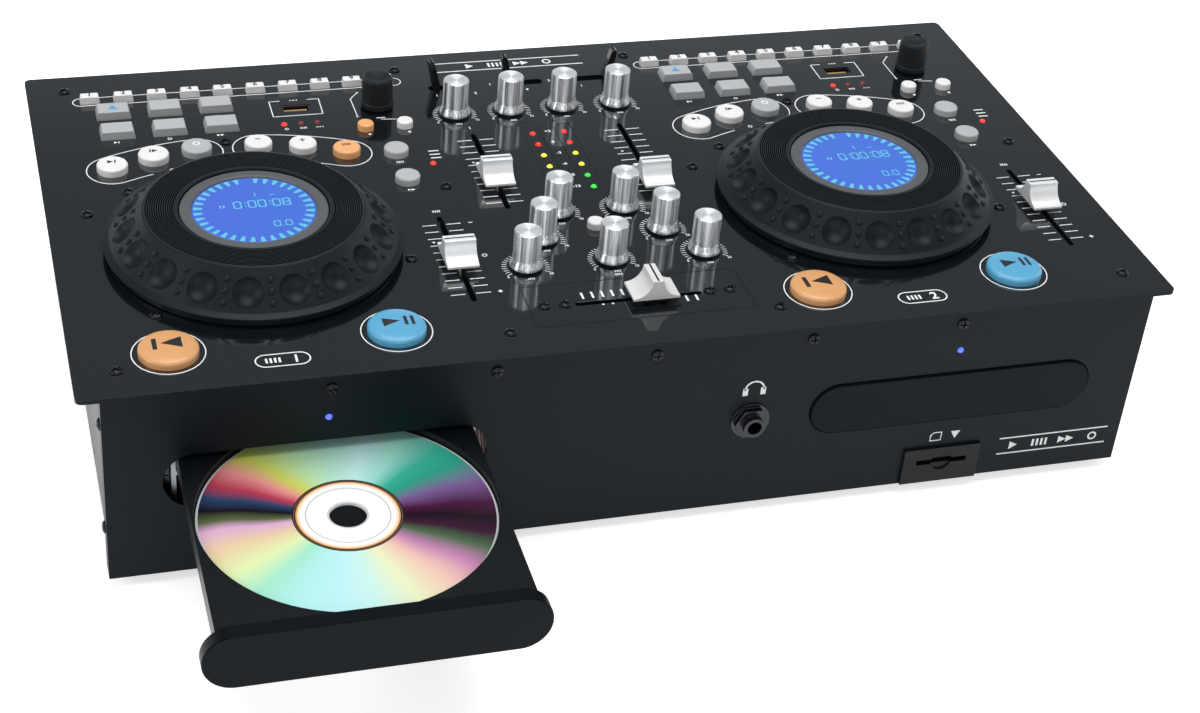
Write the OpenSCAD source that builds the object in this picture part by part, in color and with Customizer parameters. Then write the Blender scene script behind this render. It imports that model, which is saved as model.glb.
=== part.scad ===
// Tabletop twin disc player with a built-in mixer.
// Lengths are millimetres. The parts are drawn from the front left corner of the
// top panel's upper face (x to the right, y to the back, z up); place() then moves
// them to the part's own origin, under the middle of the part as it stands, on the floor.

/* [Case] */
// Width of the top panel, that of a 19 inch rack
panel_w = 482.6; // [480:0.2:500]
// Depth of the top panel
panel_d = 265.9; // [262:0.1:290]
// Thickness of the top panel
panel_t = 2; // [1.5:0.1:2.5]
// Corner radius of the top panel
panel_r = 3; // [1:0.5:6]
// Height of the front panel below the top panel's upper face
front_h = 94.2; // [90:0.1:110]
// How far the case stands in from the top panel at each side
side_inset = 9.5; // [8:0.1:10]
// How far the front panel's face stands in from the top panel's front edge
front_inset = 2; // [1.5:0.1:4]
// How far the back wall stands in from the top panel's back edge
rear_inset = 9.9; // [9:0.1:10.5]
// Sheet thickness of the front panel
front_t = 1.5; // [1.2:0.1:2]
// Sheet thickness of the chassis
sheet_t = 1.2; // [1:0.1:1.5]
// Length of the front panel's side flanges, which wrap round the chassis
front_flange = 10; // [8:0.5:14]
// How far the chassis floor lies above the front panel's lower edge
floor_lift = 4; // [3:0.5:5]
// Width of the chassis flanges that carry the top panel
flange_w = 11; // [9:0.5:11]
// Radius of a rubber foot
foot_r = 9; // [7:0.5:12]
// How far the feet hold the front panel off the floor
foot_clear = 5; // [3:0.5:9]

/* [Decks] */
// Width of one deck's field of controls
deck_w = 201; // [200:0.1:203]
// Place of the jog wheel's centre across its deck
jog_x = 86.1; // [84:0.1:88]
// Place of the jog wheel's centre from the front edge
jog_y = 101; // [99:0.1:103]
// Radius of the jog wheel at its skirt
jog_r = 64.9; // [60:0.1:65]
// Radius of the jog wheel's flat top ring
jog_top_r = 47.7; // [44:0.1:50]
// Height of the jog wheel's top ring above the panel
jog_h = 19.9; // [17:0.1:24]
// Number of finger dimples round the jog wheel
dimple_count = 18; // [12:1:20]
// Radius of one finger dimple
dimple_r = 7.2; // [5:0.1:7.8]
// Radius of the fixed display in the middle of the jog wheel
display_r = 32.1; // [28:0.1:34]
// Radius of the display's round window
window_r = 26.8; // [22:0.1:27.5]

/* [Keys] */
// Travel of the small keys
key_travel = 1; // [0.5:0.1:1.2]
// Height of the small keys above the panel
key_h = 3.5; // [2.5:0.1:5]
// Width of a track key
track_key_w = 9.3; // [7:0.1:10.5]
// Depth of a track key
track_key_d = 4.6; // [3.5:0.1:6]
// Distance from one track key to the next
track_pitch = 15.9; // [15:0.1:16.2]
// Width of a function key
function_key_w = 16; // [12:0.1:18]
// Depth of a function key
function_key_d = 9.4; // [7:0.1:12]
// Diameter of the loop keys
loop_key_d = 14.2; // [10:0.1:15]
// Diameter of the speed keys beside the loop keys
bend_key_d = 13; // [10:0.1:15]
// Radius of the arc on which the loop and speed keys stand
key_arc_r = 130.6; // [129:0.1:132]
// Diameter of the two small effect keys
effect_key_d = 7.8; // [6:0.1:10]
// Diameter of the two jog mode keys
mode_key_d = 11.7; // [9:0.1:13]
// Diameter of the cue and play keys
big_key_d = 24.8; // [20:0.1:27]
// Height of the cue and play keys
big_key_h = 4.1; // [3:0.1:6]
// Travel of the cue and play keys
big_key_travel = 1.2; // [0.6:0.1:1.4]

/* [Mixer] */
// Diameter of a mixer knob's grip
knob_d = 12.4; // [10:0.1:13]
// Diameter of a mixer knob's skirt
knob_skirt_d = 14.8; // [13:0.1:16]
// Height of a mixer knob's top above the panel
knob_h = 19; // [15:0.1:24]
// Diameter of the browse knob
browse_d = 15; // [12:0.1:17]
// Height of the browse knob's top above the panel
browse_h = 16.5; // [13:0.1:20]
// Diameter of the knobs' shafts
shaft_d = 6; // [5:0.1:6.35]
// Height of a switch lever's tip above the panel
lever_h = 16; // [12:0.1:20]
// Angle by which a switch lever leans to either side
lever_lean = 12.5; // [8:0.5:13]

/* [Faders] */
// Travel of the pitch faders
pitch_travel = 60; // [50:0.5:62]
// Travel of the channel faders
channel_travel = 60; // [45:0.5:60]
// Travel of the crossfader
cross_travel = 48; // [40:0.5:50]
// Length of a fader cap along its travel
cap_l = 21; // [16:0.1:22]
// Width of a fader cap across its travel
cap_w = 14.3; // [11:0.1:16]
// Height of a fader cap's top above the panel
cap_top = 12.8; // [10:0.1:16]
// Gap between a fader cap and the panel
cap_gap = 3.2; // [2:0.1:4]
// Width of the fader slots
slot_w = 2.6; // [2.2:0.1:3.2]

/* [Trays] */
// Width of the opening in the front panel for a tray
mouth_w = 136; // [136:0.5:138]
// Height of the opening in the front panel for a tray
mouth_h = 27; // [27:0.5:30]
// Height of the tray opening's middle below the top panel's upper face
mouth_z = 47; // [45:0.5:50]
// Place of a tray's middle across its deck
tray_x = 100.8; // [98:0.1:101]
// Width of a disc tray
tray_w = 123; // [122.5:0.1:123]
// Length of a disc tray behind its door
tray_l = 150; // [140:1:165]
// Distance from one end of a tray's travel to the other
tray_travel = 108.4; // [90:0.1:112]
// How far a closed tray's door stands out from the front panel
door_proud = 1; // [0.5:0.1:1.5]
// Thickness of a tray's door
door_t = 6.4; // [4:0.1:8]
// Diameter of a disc
disc_d = 120; // [80:1:120]
// Thickness of a disc
disc_t = 1.2; // [1.1:0.05:1.4]
// Diameter of the hole in a disc
disc_hole_d = 15; // [14.5:0.1:15.5]

/* [Sockets] */
// Diameter of the plug hole in the headphone and microphone jacks
jack_hole_d = 6.4; // [6.35:0.01:6.5]
// Outer diameter of a phono socket's barrel
phono_d = 8.3; // [8.1:0.1:8.5]
// Length of a phono socket's barrel
phono_l = 7.5; // [6:0.1:8]

/* [Clearances] */
// Sliding gap round a key, a knob or a fader stem
gap = 0.3; // [0.2:0.05:0.4]
// Gap between a shaft and its bearing
shaft_gap = 0.08; // [0.04:0.01:0.1]
// Gap all round a tray door in its opening
door_gap = 0.6; // [0.4:0.1:0.8]
// Gap all round the crossfader's plate
plate_gap = 0.15; // [0.1:0.05:0.3]

/* [Hidden] */
$fn = 64;
eps = 0.01;

// --- what the places of the controls and the widths of the trays are given for ---
rack_w = 482.6;
usual_d = 265.9;
full_disc = 120;
spread_x = panel_w / rack_w;
spread_y = panel_d / usual_d;
disc_more = disc_d - full_disc;

// --- places derived from the case ---
jog_px = jog_x * spread_x;
jog_py = jog_y * spread_y;
deck_room = deck_w * spread_x;
deck_pitch = panel_w - deck_room;
mixer_x = panel_w / 2 - 0.9;
door_front = front_inset - door_proud;
mid_y = (panel_d + door_front - tray_travel) / 2;
top_z = foot_clear + front_h;
front_back = front_inset + front_t;              // back of the front panel's sheet
side_x = side_inset + front_t;                   // outside of the chassis wall
floor_z = -front_h + floor_lift;                 // underside of the chassis floor
back_y = panel_d - rear_inset;                   // outside of the chassis back wall
tray_z = -mouth_z;
tray_px = tray_x * spread_x;
tray_wide = tray_w + disc_more;
mouth_wide = mouth_w + disc_more;
tray_long = tray_l + disc_more;

// --- boards and what stands on them ---
board_top = -13;
board_t = 1.6;
board_left = side_x + 6;
board_right = deck_room - 15;
board_front = front_inset + 10;
board_back = back_y - 13;
web_t = 1.2;                                     // web that joins the keys of one moulding
web_top = -panel_t - 1.3;
switch_size = 6;
lamp_r = 1.5;
lamp_gap = 0.1;
screw_r = 2.75;
shank_r = 1.5;
shank_hole_r = 1.6;
screw_h = 1;
pillar_r = 3;
pot_w = 10;
bush_r = shaft_d / 2 + 0.9;
fader_case_w = 12;
fader_case_end = 5;
stem_w = slot_w - 2 * gap;
stem_l = 6;

// --- places of the controls on one deck ---
function spot(x, y) = [x * spread_x, y * spread_y];
track_x = 28.8 * spread_x;
track_y = 239.8 * spread_y;
track_step = track_pitch * spread_x;
function_x = [38.4 * spread_x, 62.7 * spread_x, 87 * spread_x];
function_y = [225.6 * spread_y, 206.5 * spread_y];
browse_pos = spot(164, 216.3);
effect_pos = [spot(154.3, 195.8), spot(173.4, 195.8)];
mode_pos = [spot(163.9, 170.8), spot(163.9, 145.5)];
mode_lamp = spot(179, 158.8);
usb_pos = spot(125, 220.3);
status_lamps = [for (x = [116.7, 124.7, 132.7]) spot(x, 204.9)];
arc_top = 186.4 * spread_y;
arc_centre = [86.9 * spread_x, arc_top - key_arc_r];
arc_first = 6.3;                                 // angle from straight back to the first key
arc_step = 9.1;
big_key_y = 26.9 * spread_y;
cue_x = 39.6 * spread_x;
play_x = 133.6 * spread_x;
pitch_slot_x = 170.8 * spread_x;
pitch_mid_y = 77.3 * spread_y;
pitch_slot_l = pitch_travel + stem_l + 3;

// --- places of the controls on the mixer, across from its middle ---
row_y = 203 * spread_y;
gain_off = 40.7;
inner_off = 13.4;
high_pos = [15.6, 107.2 * spread_y];
mid_pos = [28.4, 86.2 * spread_y];
low_pos = [41.1, 65.5 * spread_y];
start_key_pos = [mixer_x - 1.3, 93.3 * spread_y];
start_key_d = 7.8;
channel_off = 36.6;
channel_mid_y = 148.4 * spread_y;
channel_slot_l = channel_travel + stem_l + 3;
meter_off = 7.8;
meter_y = 179 * spread_y;
meter_step = 10.4;
switch_off = 37;
switch_y = 230.3 * spread_y;
switch_slot = [21.5, 5];
lever_pivot = -30;
plate_size = [97.7, 30.7];
plate_mid_y = 34.6 * spread_y;
plate_t = 1.5;
cross_y = plate_mid_y - 1;
cross_slot_l = cross_travel + stem_l + 3;

// --- where the faders stand at rest, from the middle of their travel ---
pitch_rest = [-3.5, 2.3];
channel_rest = [-9.8, -21.8];
cross_rest = 5.6;

// --- screws of the top panel ---
edge_screw = side_x + 6.8;
screw_x = [edge_screw, deck_room - 20.9, deck_pitch + 18.5, panel_w - edge_screw];
screw_y = [17.5, 137.4 * spread_y, back_y - 4.7];
deck_screws = concat([[arc_centre[0], arc_top + 5.6]],
    [for (p = [[3.8, -18.2], [2.3, 224.3], [7, 132.5]])
        [jog_px, jog_py] + (jog_r + p[0]) * [cos(p[1]), sin(p[1])]]);
plate_screws = [-42, -32.8, 32.4, 41.6];
front_screw_x = [-138.4, -69.4, 0, 70.6, 140.6];
front_screw_z = -7.7;

// --- disc drives ---
disc_rest_z = tray_z + 7;                        // underside of the disc
recess_z = disc_rest_z - gap;                    // floor of the disc's recess
tray_top = tray_z + 11.2;
tray_bottom = tray_top - 10.2;
recess_r = disc_d / 2 + 0.5;
disc_y = door_t + gap + disc_d / 2;              // disc's middle behind a door's front
disc_in_y = door_front + disc_y;                 // the same with the tray shut
drive_w = tray_wide + 2 * gap + 4;
drive_wall = (drive_w - tray_wide) / 2 - gap;
drive_front = door_front + door_t + 0.8;
drive_back = drive_front + tray_long + 24;
drive_bottom = tray_z - 18;
drive_top = tray_z + 27;
rail_w = 4;
lip_w = 2;
leg_r = 4;

// --- jacks and sockets ---
phones_pos = [mixer_x + 46.3, tray_z - 0.8];
phones_hole_r = 5.1;
nut_r = 8;
washer_r = 8.9;
card_x = deck_pitch + tray_px + 0.9;
card_size = [37.4, 19];
card_z = -front_h + card_size[1] / 2 + 0.2;
card_proud = 1.6;
inlet_x = deck_room - 51;
inlet_z = floor_z + 30.2;
inlet_size = [28, 20];
rocker_x = deck_room - 6;
rocker_size = [12, 19];
phono_x = [for (i = [0:3]) mixer_x + 59.6 + 22 * i];
phono_z = [floor_z + 45.2, floor_z + 28.2];
mic_x = mixer_x + 14.6;
mic_z = floor_z + 37.2;
foot_x = [48, panel_w - 48];
foot_y = [34, back_y - 26];
foot_h = foot_clear + floor_lift;
supply_w = 102;
supply_d = 86;

// ---------------------------------------------------------------- helpers
module place() translate([-panel_w / 2, -mid_y, top_z]) children();
module deck(side) translate([side * deck_pitch, 0, 0]) children();

// a block from one corner to the opposite one
module span(a, b) translate(a) cube(b - a);

module rounded(w, d, r) {
    translate([r, 0]) square([w - 2 * r, d]);
    translate([0, r]) square([w, d - 2 * r]);
    for (x = [r, w - r], y = [r, d - r]) translate([x, y]) circle(r);
}

// an outline with half round ends, centred
module stadium(l, w) {
    square([l - w, w], center = true);
    for (s = [-1, 1]) translate([s * (l - w) / 2, 0]) circle(w / 2);
}

// an opening through a wall that stands across y
module through_y(x, z, y0, y1) translate([x, y1, z]) rotate([90, 0, 0])
    linear_extrude(y1 - y0) children();

function arc_key(i, side) = let(a = 90 + side * (arc_first + arc_step * i))
    arc_centre + key_arc_r * [cos(a), sin(a)];

// ---------------------------------------------------------------- case
module deck_cutouts(side) {
    translate([jog_px, jog_py]) circle(display_r - 10);
    for (i = [0:9]) translate([track_x + i * track_step, track_y])
        square([track_key_w + 2 * gap, track_key_d + 2 * gap], center = true);
    for (x = function_x, y = function_y) translate([x, y])
        square([function_key_w + 2 * gap, function_key_d + 2 * gap], center = true);
    for (i = [0:2]) {
        translate(arc_key(i, 1)) circle(loop_key_d / 2 + gap);
        translate(arc_key(i, -1)) circle(bend_key_d / 2 + gap);
    }
    for (p = effect_pos) translate(p) circle(effect_key_d / 2 + gap);
    for (p = mode_pos) translate(p) circle(mode_key_d / 2 + gap);
    for (x = [cue_x, play_x]) translate([x, big_key_y]) circle(big_key_d / 2 + gap);
    for (p = concat(status_lamps, [mode_lamp])) translate(p) circle(lamp_r + lamp_gap);
    translate(browse_pos) circle(bush_r + gap);
    translate(usb_pos) square([13.6, 6.2], center = true);
    translate([pitch_slot_x, pitch_mid_y]) rotate(90) stadium(pitch_slot_l, slot_w);
    for (p = deck_screws) translate(p) circle(shank_hole_r);
}

module mixer_cutouts() {
    for (p = knob_places()) translate(p) circle(bush_r + gap);
    translate(start_key_pos) circle(start_key_d / 2 + gap);
    for (s = [-1, 1]) translate([mixer_x + s * channel_off, channel_mid_y]) rotate(90)
        stadium(channel_slot_l, slot_w);
    for (s = [-1, 1], i = [0:5])
        translate([mixer_x + s * meter_off, meter_y - i * meter_step]) circle(lamp_r + lamp_gap);
    for (s = [-1, 0, 1]) translate([mixer_x + s * switch_off, switch_y])
        stadium(switch_slot[0], switch_slot[1]);
    translate([mixer_x + 0.8, plate_mid_y])
        square(plate_size + 2 * plate_gap * [1, 1], center = true);
}

function knob_places() = concat(
    [for (o = [-gain_off, -inner_off, inner_off, gain_off]) [mixer_x + o, row_y]],
    [for (p = [high_pos, mid_pos, low_pos], s = [-1, 1]) [mixer_x + s * p[0], p[1]]],
    [[mixer_x - 2, low_pos[1]]]);

function panel_screws() = [for (x = screw_x, y = screw_y) [x, y]];

// whether a screw goes into the boards' pillars and not into the chassis
function in_board(p) = p[1] == screw_y[1] && p[0] > screw_x[0] && p[0] < screw_x[3];

module top_panel() color("#2b2d31") place() translate([0, 0, -panel_t])
    linear_extrude(panel_t) difference() {
        rounded(panel_w, panel_d, panel_r);
        for (side = [0, 1]) translate([side * deck_pitch, 0]) deck_cutouts(side);
        mixer_cutouts();
        for (p = panel_screws()) translate(p) circle(shank_hole_r);
    }

module front_panel() color("#1f2124") place() difference() {
    union() {
        span([side_inset, front_inset, -front_h], [panel_w - side_inset, front_back, -panel_t]);
        for (x = [side_inset, panel_w - side_inset - front_t])
            span([x, front_inset, -front_h], [x + front_t, front_inset + front_flange, -panel_t]);
        span([side_inset, front_inset, -front_h],
            [panel_w - side_inset, front_inset + front_flange, -front_h + front_t]);
    }
    for (side = [0, 1]) {
        through_y(tray_px + side * deck_pitch, tray_z, front_inset - 1, front_back + 1)
            stadium(mouth_wide, mouth_h);
        through_y(tray_px + side * deck_pitch, -22, front_inset - 1, front_back + 1)
            circle(lamp_r + lamp_gap);
        for (z = [-18, -71]) translate([side * panel_w, front_inset + 6, z]) rotate([0, 90, 0])
            cylinder(r = shank_hole_r, h = 4 * side_inset, center = true);
    }
    through_y(phones_pos[0], phones_pos[1], front_inset - 1, front_back + 1)
        circle(phones_hole_r + gap);
    through_y(card_x, card_z + 2, front_inset - 1, front_back + 1) square([28, 9], center = true);
    for (x = front_screw_x) through_y(mixer_x + x, front_screw_z, front_inset - 1, front_back + 1)
        circle(shank_hole_r);
}

module chassis() color("#24262a") place() difference() {
    wall_y = back_y - sheet_t;
    rail_y = front_back + sheet_t;
    inner_x = side_x + sheet_t + gap;
    union() {
        // pan: floor, two side walls and their flanges under the top panel
        span([side_x, front_back, floor_z], [panel_w - side_x, wall_y - gap, floor_z + sheet_t]);
        for (x = [side_x, panel_w - side_x - sheet_t])
            span([x, front_back, floor_z], [x + sheet_t, wall_y - gap, -panel_t]);
        for (x = [side_x, panel_w - side_x - flange_w])
            span([x, rail_y + gap, -panel_t - sheet_t],
                [x + flange_w, back_y - flange_w - gap, -panel_t]);
        // back wall, folded over under the top panel
        span([side_x, wall_y, floor_z], [panel_w - side_x, back_y, -panel_t]);
        span([inner_x, back_y - flange_w, -panel_t - sheet_t],
            [panel_w - inner_x, back_y, -panel_t]);
        // cross member behind the front panel's top edge, with its two tabs
        span([inner_x, front_back, -14], [panel_w - inner_x, rail_y, -panel_t]);
        for (x = [screw_x[1], screw_x[2]])
            span([x - 6, front_back, -panel_t - sheet_t], [x + 6, screw_y[0] + 5, -panel_t]);
    }
    for (p = panel_screws()) if (!in_board(p))
        translate([p[0], p[1], -panel_t - 3]) cylinder(r = shank_hole_r, h = 4);
    for (x = front_screw_x) through_y(mixer_x + x, front_screw_z, front_back - 1, front_back + 3)
        circle(shank_hole_r);
    for (x = [0, panel_w], z = [-18, -71]) translate([x, front_inset + 6, z]) rotate([0, 90, 0])
        cylinder(r = shank_hole_r, h = 4 * side_inset, center = true);
    // rear openings
    through_y(inlet_x, inlet_z, back_y - 3, back_y + 1) square(inlet_size, center = true);
    through_y(rocker_x, inlet_z, back_y - 3, back_y + 1)
        square(rocker_size + [2.4, 2.4], center = true);
    through_y(mic_x, mic_z, back_y - 3, back_y + 1) circle(phones_hole_r + gap);
    for (x = phono_x, z = phono_z) through_y(x, z, back_y - 3, back_y + 1)
        circle(phono_d / 2 + gap);
    for (x = foot_x, y = foot_y) translate([x, y, floor_z - 1]) cylinder(r = shank_hole_r, h = 4);
    // room for the lamp beside the right flange
    deck(1) translate([mode_lamp[0], mode_lamp[1], -panel_t - 3]) cylinder(r = lamp_r + 1.5, h = 4);
}

module rubber_feet() color("#17181a") place()
    for (x = foot_x, y = foot_y) translate([x, y, floor_z - foot_h]) rotate_extrude()
        polygon([[shank_hole_r, 3], [4, 3], [4, 0], [foot_r - 1.5, 0], [foot_r, 1.5],
            [foot_r + 0.6, foot_h], [shank_hole_r, foot_h]]);

// a cross-head screw, head up, its head resting on z = 0
module screw(length, head = screw_h) difference() {
    union() {
        rotate_extrude() polygon([[0, 0], [screw_r, 0], [screw_r, head * 0.5],
            [screw_r * 0.6, head], [0, head]]);
        translate([0, 0, -length]) cylinder(r = shank_r, h = length + eps);
    }
    for (a = [0, 90]) rotate(a) translate([-1.5, -0.3, head * 0.3]) cube([3, 0.6, head]);
}

module case_screws() color("#0f1012") place() {
    for (p = panel_screws()) translate([p[0], p[1], 0]) rotate(20) screw(6);
    for (side = [0, 1], p = deck_screws) deck(side) translate([p[0], p[1], 0]) rotate(35) screw(6);
    for (x = plate_screws) translate([mixer_x + 0.8 + x, cross_y + 0.6, 0]) rotate(x) screw(4);
    for (x = front_screw_x) translate([mixer_x + x, front_inset, front_screw_z])
        rotate([90, 0, 0]) rotate(10) screw(5);
    for (z = [-18, -71]) {
        translate([side_inset, front_inset + 6, z]) rotate([0, -90, 0]) screw(4);
        translate([panel_w - side_inset, front_inset + 6, z]) rotate([0, 90, 0]) screw(4);
    }
    for (x = foot_x, y = foot_y) translate([x, y, floor_z - foot_h + 3]) rotate([180, 0, 0])
        screw(foot_h + 1);
}

module crossfader_plate() color("#26282c") place() translate([mixer_x + 0.8, plate_mid_y, -plate_t])
    linear_extrude(plate_t) difference() {
        square(plate_size, center = true);
        translate([0, cross_y - plate_mid_y]) stadium(cross_slot_l, slot_w);
        for (x = plate_screws) translate([x, cross_y + 0.6 - plate_mid_y]) circle(shank_hole_r);
    }

// ---------------------------------------------------------------- boards
module tact_switch(p, travel) let(top = web_top - web_t - travel - gap)
    span([p[0] - switch_size / 2, p[1] - switch_size / 2, board_top - eps],
        [p[0] + switch_size / 2, p[1] + switch_size / 2, top]);

module pillar(p) difference() {
    translate([p[0], p[1], board_top - eps]) cylinder(r = pillar_r, h = -panel_t - board_top + eps);
    translate([p[0], p[1], -panel_t - 6]) cylinder(r = shank_hole_r, h = 7);
}

// a fader's case under the panel; its groove takes the cap's stem
module fader_case(l, top) difference() {
    span([-fader_case_w / 2, -l / 2 - fader_case_end, board_top - eps],
        [fader_case_w / 2, l / 2 + fader_case_end, top]);
    translate([0, 0, board_top + 2]) linear_extrude(20) rotate(90) stadium(l, slot_w);
}

// a potentiometer or encoder; its bore carries a knob's shaft
module pot() difference() {
    union() {
        span([-pot_w / 2, -pot_w / 2, board_top - eps], [pot_w / 2, pot_w / 2, -panel_t - 1]);
        translate([0, 0, -panel_t - 2]) cylinder(r = bush_r, h = panel_t + 2.6);
    }
    translate([0, 0, board_top + 2]) cylinder(r = shaft_d / 2 + shaft_gap, h = 20);
}

module deck_board() {
    difference() {
        span([board_left, board_front, board_top - board_t], [board_right, board_back, board_top]);
        translate([jog_px, jog_py, board_top - 5]) cylinder(r = 8, h = 10);
    }
    for (i = [0:9]) tact_switch([track_x + i * track_step, track_y], key_travel);
    for (x = function_x, y = function_y) tact_switch([x, y], key_travel);
    for (i = [0:2], s = [-1, 1]) tact_switch(arc_key(i, s), key_travel);
    for (p = concat(effect_pos, mode_pos)) tact_switch(p, key_travel);
    for (x = [cue_x, play_x]) tact_switch([x, big_key_y], big_key_travel);
    for (p = deck_screws) pillar(p);
    translate(concat(browse_pos, 0)) pot();
    translate([pitch_slot_x, pitch_mid_y, 0]) fader_case(pitch_slot_l, -panel_t);
}

module deck_boards() color("#1d4a2c") place() {
    for (side = [0, 1]) deck(side) deck_board();
    // the pillars beside the mixer stand on the decks' inner edges
    for (p = panel_screws()) if (in_board(p)) pillar(p);
}

// one lever switch: two cheeks and the pin between them
module switch_frame() {
    cheek = switch_slot[1] / 2 + 0.75;
    for (s = [-1, 1]) translate([0, s * cheek, 0])
        span([-10, -0.75, lever_pivot - 5], [10, 0.75, -panel_t]);
    span([-10, -cheek, lever_pivot - 5], [10, cheek, lever_pivot - 4]);
    translate([0, cheek, lever_pivot]) rotate([90, 0, 0]) cylinder(r = 1, h = 2 * cheek);
}

module mixer_board() color("#1d4a2c") place() {
    span([board_right + 4, board_front, board_top - board_t],
        [deck_pitch + board_left - 4, switch_y - 14, board_top]);
    for (p = knob_places()) translate([p[0], p[1], 0]) pot();
    tact_switch(start_key_pos, key_travel);
    for (s = [-1, 1]) translate([mixer_x + s * channel_off, channel_mid_y, 0])
        fader_case(channel_slot_l, -panel_t);
    difference() {
        translate([mixer_x + 0.8, cross_y, 0]) rotate(90) union() {
            fader_case(cross_slot_l, -plate_t);
            for (s = [-1, 1]) span([-6, s * 39 - 9, -plate_t - 6], [6, s * 39 + 9, -plate_t]);
        }
        for (x = plate_screws) translate([mixer_x + 0.8 + x, cross_y + 0.6, -6.8])
            cylinder(r = shank_hole_r, h = 8);
    }
    for (s = [-1, 0, 1]) translate([mixer_x + s * switch_off, switch_y, 0]) switch_frame();
}

// the supply's board on its pillars, with transformer, fuse, heat sink and capacitors
module power_supply() color("#7a5a2a") place()
    translate([mixer_x - supply_w / 2, back_y - 20 - supply_d, floor_z + sheet_t]) {
        span([0, 0, 6], [supply_w, supply_d, 7.6]);
        for (x = [6, supply_w - 6], y = [6, supply_d - 6]) translate([x, y, 0])
            cylinder(r = 3, h = 6.2);
        span([10, 15, 7.5], [46, 50, 38]);
        span([10, 60, 7.5], [46, 76, 16]);
        span([54, 10, 7.5], [57, 76, 34]);
        for (y = [20, 42, 64]) translate([72, y, 7.5]) cylinder(r = 8, h = 26);
    }

// ---------------------------------------------------------------- disc drives
module drive() translate([tray_px, 0, 0]) {
    w = drive_w / 2;
    in_w = w - drive_wall;
    // floor, walls, and on each wall a rail under the tray and a lip over it
    span([-w, drive_front, drive_bottom], [w, drive_back, drive_bottom + 2]);
    for (s = [-1, 1]) {
        translate([s * (w - drive_wall / 2), 0, 0])
            span([-drive_wall / 2, drive_front, drive_bottom],
                [drive_wall / 2, drive_back, drive_top]);
        translate([s * (in_w - rail_w / 2), 0, 0])
            span([-rail_w / 2 - eps, drive_front, tray_bottom - gap - 2],
                [rail_w / 2 + eps, drive_back, tray_bottom - gap]);
        translate([s * (in_w - lip_w / 2), 0, 0])
            span([-lip_w / 2 - eps, drive_front, tray_top + gap],
                [lip_w / 2 + eps, drive_back, tray_top + gap + 1.5]);
    }
    // bridge over the disc with its clamp
    span([-w, disc_in_y - 18, drive_top - 2], [w, disc_in_y + 18, drive_top]);
    translate([0, disc_in_y, drive_top - 7]) cylinder(r = 15, h = 5 + eps);
    // motor and spindle, and the pick-up behind them, lowered clear of the tray
    translate([0, disc_in_y, drive_bottom + 2 - eps]) {
        cylinder(r = 12, h = 4);
        cylinder(r = 4, h = 7);
    }
    span([-15, disc_in_y + 14, drive_bottom + 2 - eps], [15, disc_in_y + 44, drive_bottom + 9]);
    // legs down to the chassis floor
    for (x = [-w + 6, w - 6], y = [drive_front + 8, drive_back - 8])
        translate([x, y, floor_z + sheet_t])
            cylinder(r = leg_r, h = drive_bottom - floor_z - sheet_t + eps);
}

module disc_drives() color("#5c6066") place() for (side = [0, 1]) deck(side) drive();

module tray(side, shift) color("#1b1d20") place() deck(side) translate([tray_px, shift, 0])
    difference() {
        span([-tray_wide / 2, door_front + door_t, tray_bottom],
            [tray_wide / 2, door_front + door_t + tray_long, tray_top]);
        translate([0, door_front + disc_y, recess_z]) cylinder(r = recess_r, h = 20);
        // hollow underside between the two runners
        span([-tray_wide / 2 + 6, door_front + door_t + 3, tray_bottom - 1],
            [tray_wide / 2 - 6, door_front + door_t + tray_long - 3, recess_z - 1.8]);
        // window for the spindle and the pick-up
        translate([0, door_front + disc_y, tray_bottom - 1]) linear_extrude(30) union() {
            circle(18);
            translate([-18, 0]) square([36, 52]);
        }
    }

module tray_door(side, shift) color("#1b1d20") place() deck(side)
    translate([tray_px, door_front + shift, tray_z]) {
        l = mouth_wide - 2 * door_gap;
        w = mouth_h - 2 * door_gap;
        through_y(0, 0, 0.8, door_t) stadium(l, w);
        through_y(0, 0, 0.4, 0.8 + eps) stadium(l - 0.3, w - 0.3);
        through_y(0, 0, 0, 0.4 + eps) stadium(l - 0.9, w - 0.9);
    }

module disc() color("#c9d4dc") place() deck(0)
    translate([tray_px, door_front + disc_y - tray_travel, disc_rest_z]) difference() {
        cylinder(d = disc_d, h = disc_t, $fn = 128);
        translate([0, 0, -1]) cylinder(d = disc_hole_d, h = 4);
    }

// ---------------------------------------------------------------- jog wheels
flange_h = 1.5;
jog_bore_r = display_r + 0.4;
jog_rim_z = 0.7;
skirt_z = 4.1;
slope_foot = [jog_r - 2.6, 6.2];
dimple_phase = 18.5;
dimple_at = [(jog_top_r + slope_foot[0]) / 2 + 2.6, (jog_h + slope_foot[1]) / 2 + 2.8];

module jog_wheel(side) color("#1a1c1f") place() deck(side) translate([jog_px, jog_py, 0])
    difference() {
        rotate_extrude($fn = 128) polygon([
            [jog_bore_r, flange_h + gap], [jog_bore_r, jog_h - 0.6], [jog_bore_r + 0.6, jog_h],
            [jog_top_r, jog_h], slope_foot, [jog_r, skirt_z + 1], [jog_r, skirt_z],
            [jog_r - 2.2, skirt_z - 0.6], [jog_r - 2.2, jog_rim_z], [jog_r - 4.4, jog_rim_z],
            [jog_r - 4.4, 4], [jog_top_r - 2.4, jog_h - 3.6], [jog_bore_r + 2.6, jog_h - 3.6],
            [jog_bore_r + 2.6, flange_h + gap]
        ]);
        for (i = [0:dimple_count - 1]) rotate(dimple_phase + i * 360 / dimple_count)
            translate([dimple_at[0], 0, dimple_at[1]]) sphere(r = dimple_r, $fn = 48);
    }

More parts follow.
